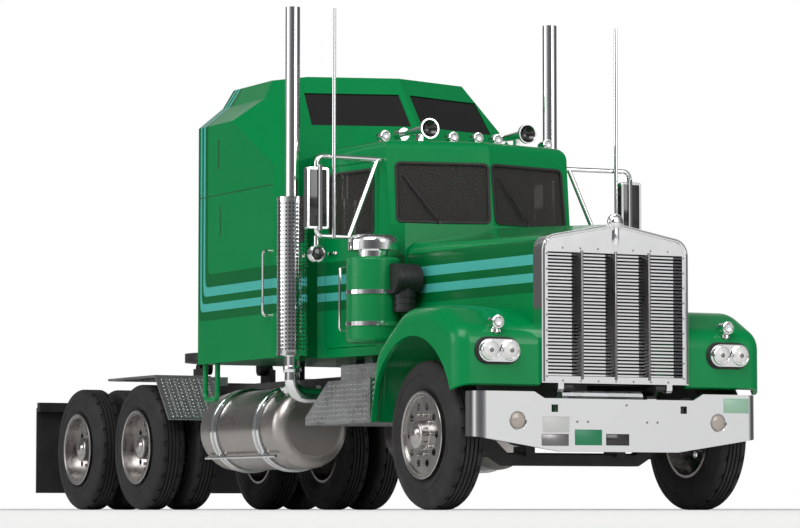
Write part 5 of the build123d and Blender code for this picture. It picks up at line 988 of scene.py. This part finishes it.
# Bumper bolts and the bar behind the bumper's top edge
bolt = turned([(0.0, 0.1), (0.3, 0.08), (0.55, 0.0), (0.5, -0.3), (0.0, -0.3)], 12)
BOLT_PLACES = ((-14.5, 25.8), (-10.9, 25.8), (9.3, 25.8), (12.9, 25.8), (2.3, 30.8))
bolts = [stand(copy_of(bolt), at(BUMPER_FACE - 0.05, y, z), AHEAD) for y, z in BOLT_PLACES]
settle(joined(bolts), "bumper_bolts", "chassis", DARK_STEEL)
valance_bar = bent_bar([at(24.2, -17.2, 33.4), at(24.2, 10.3, 33.4)], 1.7, 0)
settle(valance_bar, "valance_bar", "chassis", SATIN_METAL)


# Painted shade: dark gloss linings inside the chrome horn bells

horn_bell_shade = turned([(0.0, -3.2), (2.5, -0.35), (2.7, -0.1), (2.7, -0.25), (0.0, -3.35)], 28)
stand(horn_bell_shade, at(-57.0, 17.7, 120.4), AHEAD)
settle(mirrored(horn_bell_shade), "horn_bell_painted_shade", "chassis", DARK_GLOSS)


# Sleeper: panel line and grip slots on the sides, as thin strips in a darker green that is painted shade

SLOTS = ((-152.3, 114.2, 124.4), (-150.7, 91.5, 101.6))     # place along, and lower and upper ends
groove = slab(at(-168.0, SLEEPER_HALF - 0.1, 105.5), at(-109.0, SLEEPER_HALF + 0.05, 105.8), 0.05)
slots = [slab(at(x - 0.35, SLEEPER_HALF - 0.1, low), at(x + 0.35, SLEEPER_HALF + 0.1, high), 0.08)
         for x, low, high in SLOTS]
settle(mirrored(joined([groove, *slots])), "sleeper_grooves", "chassis", GROOVE_SHADE_GREEN)


# Seats: pleated pads on their boxes

SEAT_IN, SEAT_OUT = 9.0, 24.0
PLEATS = 3
PLEAT_LAP = 0.15


def pad(low, high, soft):
    """A crowned pad between two corners, rounded by subdivision."""
    return use_modifier(slab(low, high, soft, 2), "SUBSURF", levels=2, render_levels=2)


pads = []
pleat = (SEAT_OUT - SEAT_IN) / PLEATS
for index in range(PLEATS):
    near = SEAT_IN + index * pleat - PLEAT_LAP * (index > 0)
    far = SEAT_IN + (index + 1) * pleat + PLEAT_LAP * (index < PLEATS - 1)
    pads.append(pad(at(-83.9, near, 59.0), at(-69.1, far, 65.9), 1.6))
    pads.append(pad(at(-86.9, near, 65.0), at(-82.2, far, 89.8), 1.5))
boxes = [slab(at(-83.0, SEAT_IN + 1, 50.1), at(-70.0, SEAT_OUT - 1, 60.0), 0.6),
         slab(at(-86.8, SEAT_IN + 2, 62.2), at(-83.5, SEAT_OUT - 2, 66.5), 0.6)]
seat_pads = settle(mirrored(joined(pads)), "seat_pads", "chassis", SEAT_VINYL, smooth=60)
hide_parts("seats")
settle(mirrored(joined(boxes)), "seat_boxes", "chassis", CAB_TRIM)


# Dashboard gauges and glove box, and the doors' inner panels

BACK = (-1, 0, 0)
DASH_BACK = -56.0
# Gauges: place across and up, and radius
GAUGES = ((12.5, 81.6, 1.5), (16.5, 81.6, 1.5), (20.2, 82.0, 1.0), (23.0, 82.0, 1.0), (20.2, 79.2, 1.0),
          (23.0, 79.2, 1.0), (9.2, 82.0, 1.0), (9.2, 79.2, 1.0))
gauge_rings, gauge_faces = [], []
for gauge_y, gauge_z, radius in GAUGES:
    place = at(DASH_BACK, gauge_y, gauge_z)
    ring = turned([(radius, -0.1), (radius, 0.3), (radius + 0.15, 0.38), (radius + 0.3, 0.3), (radius + 0.3, -0.1),
                   (radius, -0.1)], 24)
    gauge_rings.append(stand(ring, place, BACK))
    gauge_faces.append(stand(lens_dome(radius, 0.12), place, BACK))
glove_box = slab(at(DASH_BACK - 0.5, -23.0, 73.0), at(DASH_BACK + 0.1, -10.0, 80.5), 0.25)
settle(joined(gauge_rings), "gauge_rings", "chassis", CHROME)
settle(joined(gauge_faces), "gauge_faces", "chassis", GAUGE_FACE)
settle(glove_box, "glove_box", "chassis", CAB_TRIM)
for name, side in SIDES:
    panel = lay_on(slab((-11.5 * MM, -15.0 * MM, -0.15 * MM), (11.5 * MM, 15.0 * MM, 0.35 * MM), 0.2),
                   cab_side(-77.0, -1.4, 69.0), -DOOR_ALONG, UP)
    rest = lay_on(slab((-8.0 * MM, -0.8 * MM, 0.2 * MM), (6.0 * MM, 0.8 * MM, 1.6 * MM), 0.4),
                  cab_side(-77.0, -1.9, 74.0), -DOOR_ALONG, UP)
    lining = left_or_right(joined([panel, rest]), side)
    settle(lining, f"door_panel_{name}", f"{name}_door", CAB_TRIM)


# Engine covers, hose and radiator fins

FINS = 49
FIN_PITCH = 0.8
covers = [slab(at(rear, -5.4, 72.8), at(rear + 11.0, 5.4, 74.4), 0.5) for rear in (-36.5, -23.9, -11.3)]
pulley = turned([(0.0, 1.2), (2.6, 1.2), (2.9, 0.9), (2.4, 0.6), (2.9, 0.3), (2.6, -0.4), (0.0, -0.4)], 28)
stand(pulley, at(4.1, 0.0, 43.5), AHEAD)
pipes = [bent_bar([at(x, 6.5, 70.5), at(x, 10.2, 70.5), at(x, 10.2, 64.0)], 0.8, 1.6) for x in range(-34, -3, 6)]
manifold = bent_bar([at(-36.0, 10.2, 64.0), at(-2.0, 10.2, 64.0)], 1.1, 0)
settle(joined(covers + [pulley, manifold] + pipes), "engine_covers", "chassis", ENGINE_GREY)
hose = bent_bar([at(9.4, -9.0, 73.6), at(5.0, -9.0, 73.9), at(1.0, -5.0, 71.4)], 1.1, 1.6)
settle(hose, "radiator_hose", "chassis", RUBBER)
fin = slab(at(15.9, -19.4, 40.5), at(16.25, -19.2, 71.6), 0.04, 1)
repeated(fin, FINS, (0, FIN_PITCH * MM, 0))
settle(fin, "radiator_fins", "chassis", ENGINE_GREY)


# Frame rivets

STUDS = 19
STUD_PITCH = 7.0
stud = turned([(0.0, 0.28), (0.28, 0.22), (0.45, 0.0), (0.4, -0.2), (0.0, -0.2)], 8)
rail_studs = []
for stud_z in (35.4, 41.6):
    line = stand(copy_of(stud), at(-176.0, 17.3, stud_z), (0, 1, 0))
    pick(line)
    bpy.ops.object.transform_apply(location=True, rotation=True, scale=True)
    rail_studs.append(repeated(line, STUDS, (-STUD_PITCH * MM, 0, 0)))
settle(mirrored(joined(rail_studs)), "rail_rivets", "chassis", BLACK)
for spare in (rivet, bolt, stud):
    bpy.data.objects.remove(spare)


# Camera, floor and light

CAMERA_YAW = math.radians(27.01)
CAMERA_PITCH = math.radians(4.18)
CAMERA_PLACE = at(903.94, -518.24, 0.4)
CAMERA_FOCAL = 3443.46      # pixels across the photograph's 800
PHOTO_WIDTH = 800
DROP = 7.0                  # pixels that the view is lowered because the camera stays above the floor

level = math.cos(CAMERA_PITCH)
forward = Vector((-math.cos(CAMERA_YAW) * level, math.sin(CAMERA_YAW) * level, math.sin(CAMERA_PITCH)))
clear_selection()
bpy.ops.object.camera_add(location=CAMERA_PLACE)
camera = bpy.context.object
camera.rotation_mode = "QUATERNION"
camera.rotation_quaternion = forward.to_track_quat("-Z", "Y")
camera.data.sensor_width = 36.0
camera.data.lens = CAMERA_FOCAL / PHOTO_WIDTH * camera.data.sensor_width
camera.data.shift_y = -DROP / PHOTO_WIDTH
camera.data.clip_start = 0.01
camera.data.clip_end = 50.0
bpy.context.scene.camera = camera

bpy.ops.mesh.primitive_plane_add(size=12)
floor = bpy.context.object
floor.name = "pale_floor"
floor.data.materials.append(new_finish("pale_floor", (0.86, 0.86, 0.85), polish=(4.0, 0.55, 0.7))[0])


def softbox(name, place, aim, size, power):
    """A large soft lamp aimed at a point."""
    clear_selection()
    bpy.ops.object.light_add(type="AREA", location=place)
    lamp = bpy.context.object
    lamp.name = name
    lamp.data.shape = "RECTANGLE"
    lamp.data.size, lamp.data.size_y = size
    lamp.data.energy = power
    lamp.rotation_mode = "QUATERNION"
    lamp.rotation_quaternion = (Vector(aim) - Vector(place)).to_track_quat("-Z", "Y")
    return lamp


softbox("key_light", (0.9, -0.9, 1.3), (0.0, 0.0, 0.06), (1.2, 0.9), 16.0)
softbox("side_light", (-0.5, -1.5, 0.5), (-0.05, 0.0, 0.06), (0.9, 0.7), 5.0)
softbox("front_light", (1.7, 0.5, 0.6), (0.1, 0.0, 0.05), (0.7, 0.7), 6.0)

world = bpy.data.worlds.new("studio")
bpy.context.scene.world = world
world.use_nodes = True
sky = world.node_tree
background = sky.nodes["Background"]
rays = node(sky, "ShaderNodeLightPath")
direction = node(sky, "ShaderNodeTexCoord")
spread = node(sky, "ShaderNodeVectorMath", operation="DOT_PRODUCT")
spread.inputs[1].default_value = (forward.x, forward.y, 0.0)
sky.links.new(direction.outputs["Generated"], spread.inputs[0])
room = node(sky, "ShaderNodeValToRGB")
room.color_ramp.elements[0].position = 0.0
room.color_ramp.elements[0].color = (0.10, 0.10, 0.11, 1)
room.color_ramp.elements[1].position = 1.0
room.color_ramp.elements[1].color = (0.9, 0.9, 0.9, 1)
# Brightness that metal mirrors, from the camera's side of the room round to behind the truck
ROOM_SHADES = ((0.11, 0.25), (0.2, 0.78), (0.32, 0.66), (0.43, 0.2), (0.6, 0.06), (0.82, 0.12), (0.93, 0.3))
for position, shade in ROOM_SHADES:
    room.color_ramp.elements.new(position).color = (shade, shade, shade, 1)
turned_share = math_node(sky, "MULTIPLY_ADD", spread.outputs["Value"], 0.5, 0.5)
sky.links.new(turned_share, room.inputs["Fac"])
lit = mix_colour(sky, rays.outputs["Is Glossy Ray"], (0.36, 0.36, 0.36), room.outputs["Color"])
straight = math_node(sky, "MAXIMUM", rays.outputs["Is Camera Ray"], rays.outputs["Is Transmission Ray"])
sky.links.new(mix_colour(sky, straight, lit, (1.0, 1.0, 1.0)), background.inputs["Color"])

bpy.context.scene.view_settings.view_transform = "Standard"

bpy.context.view_layer.update()
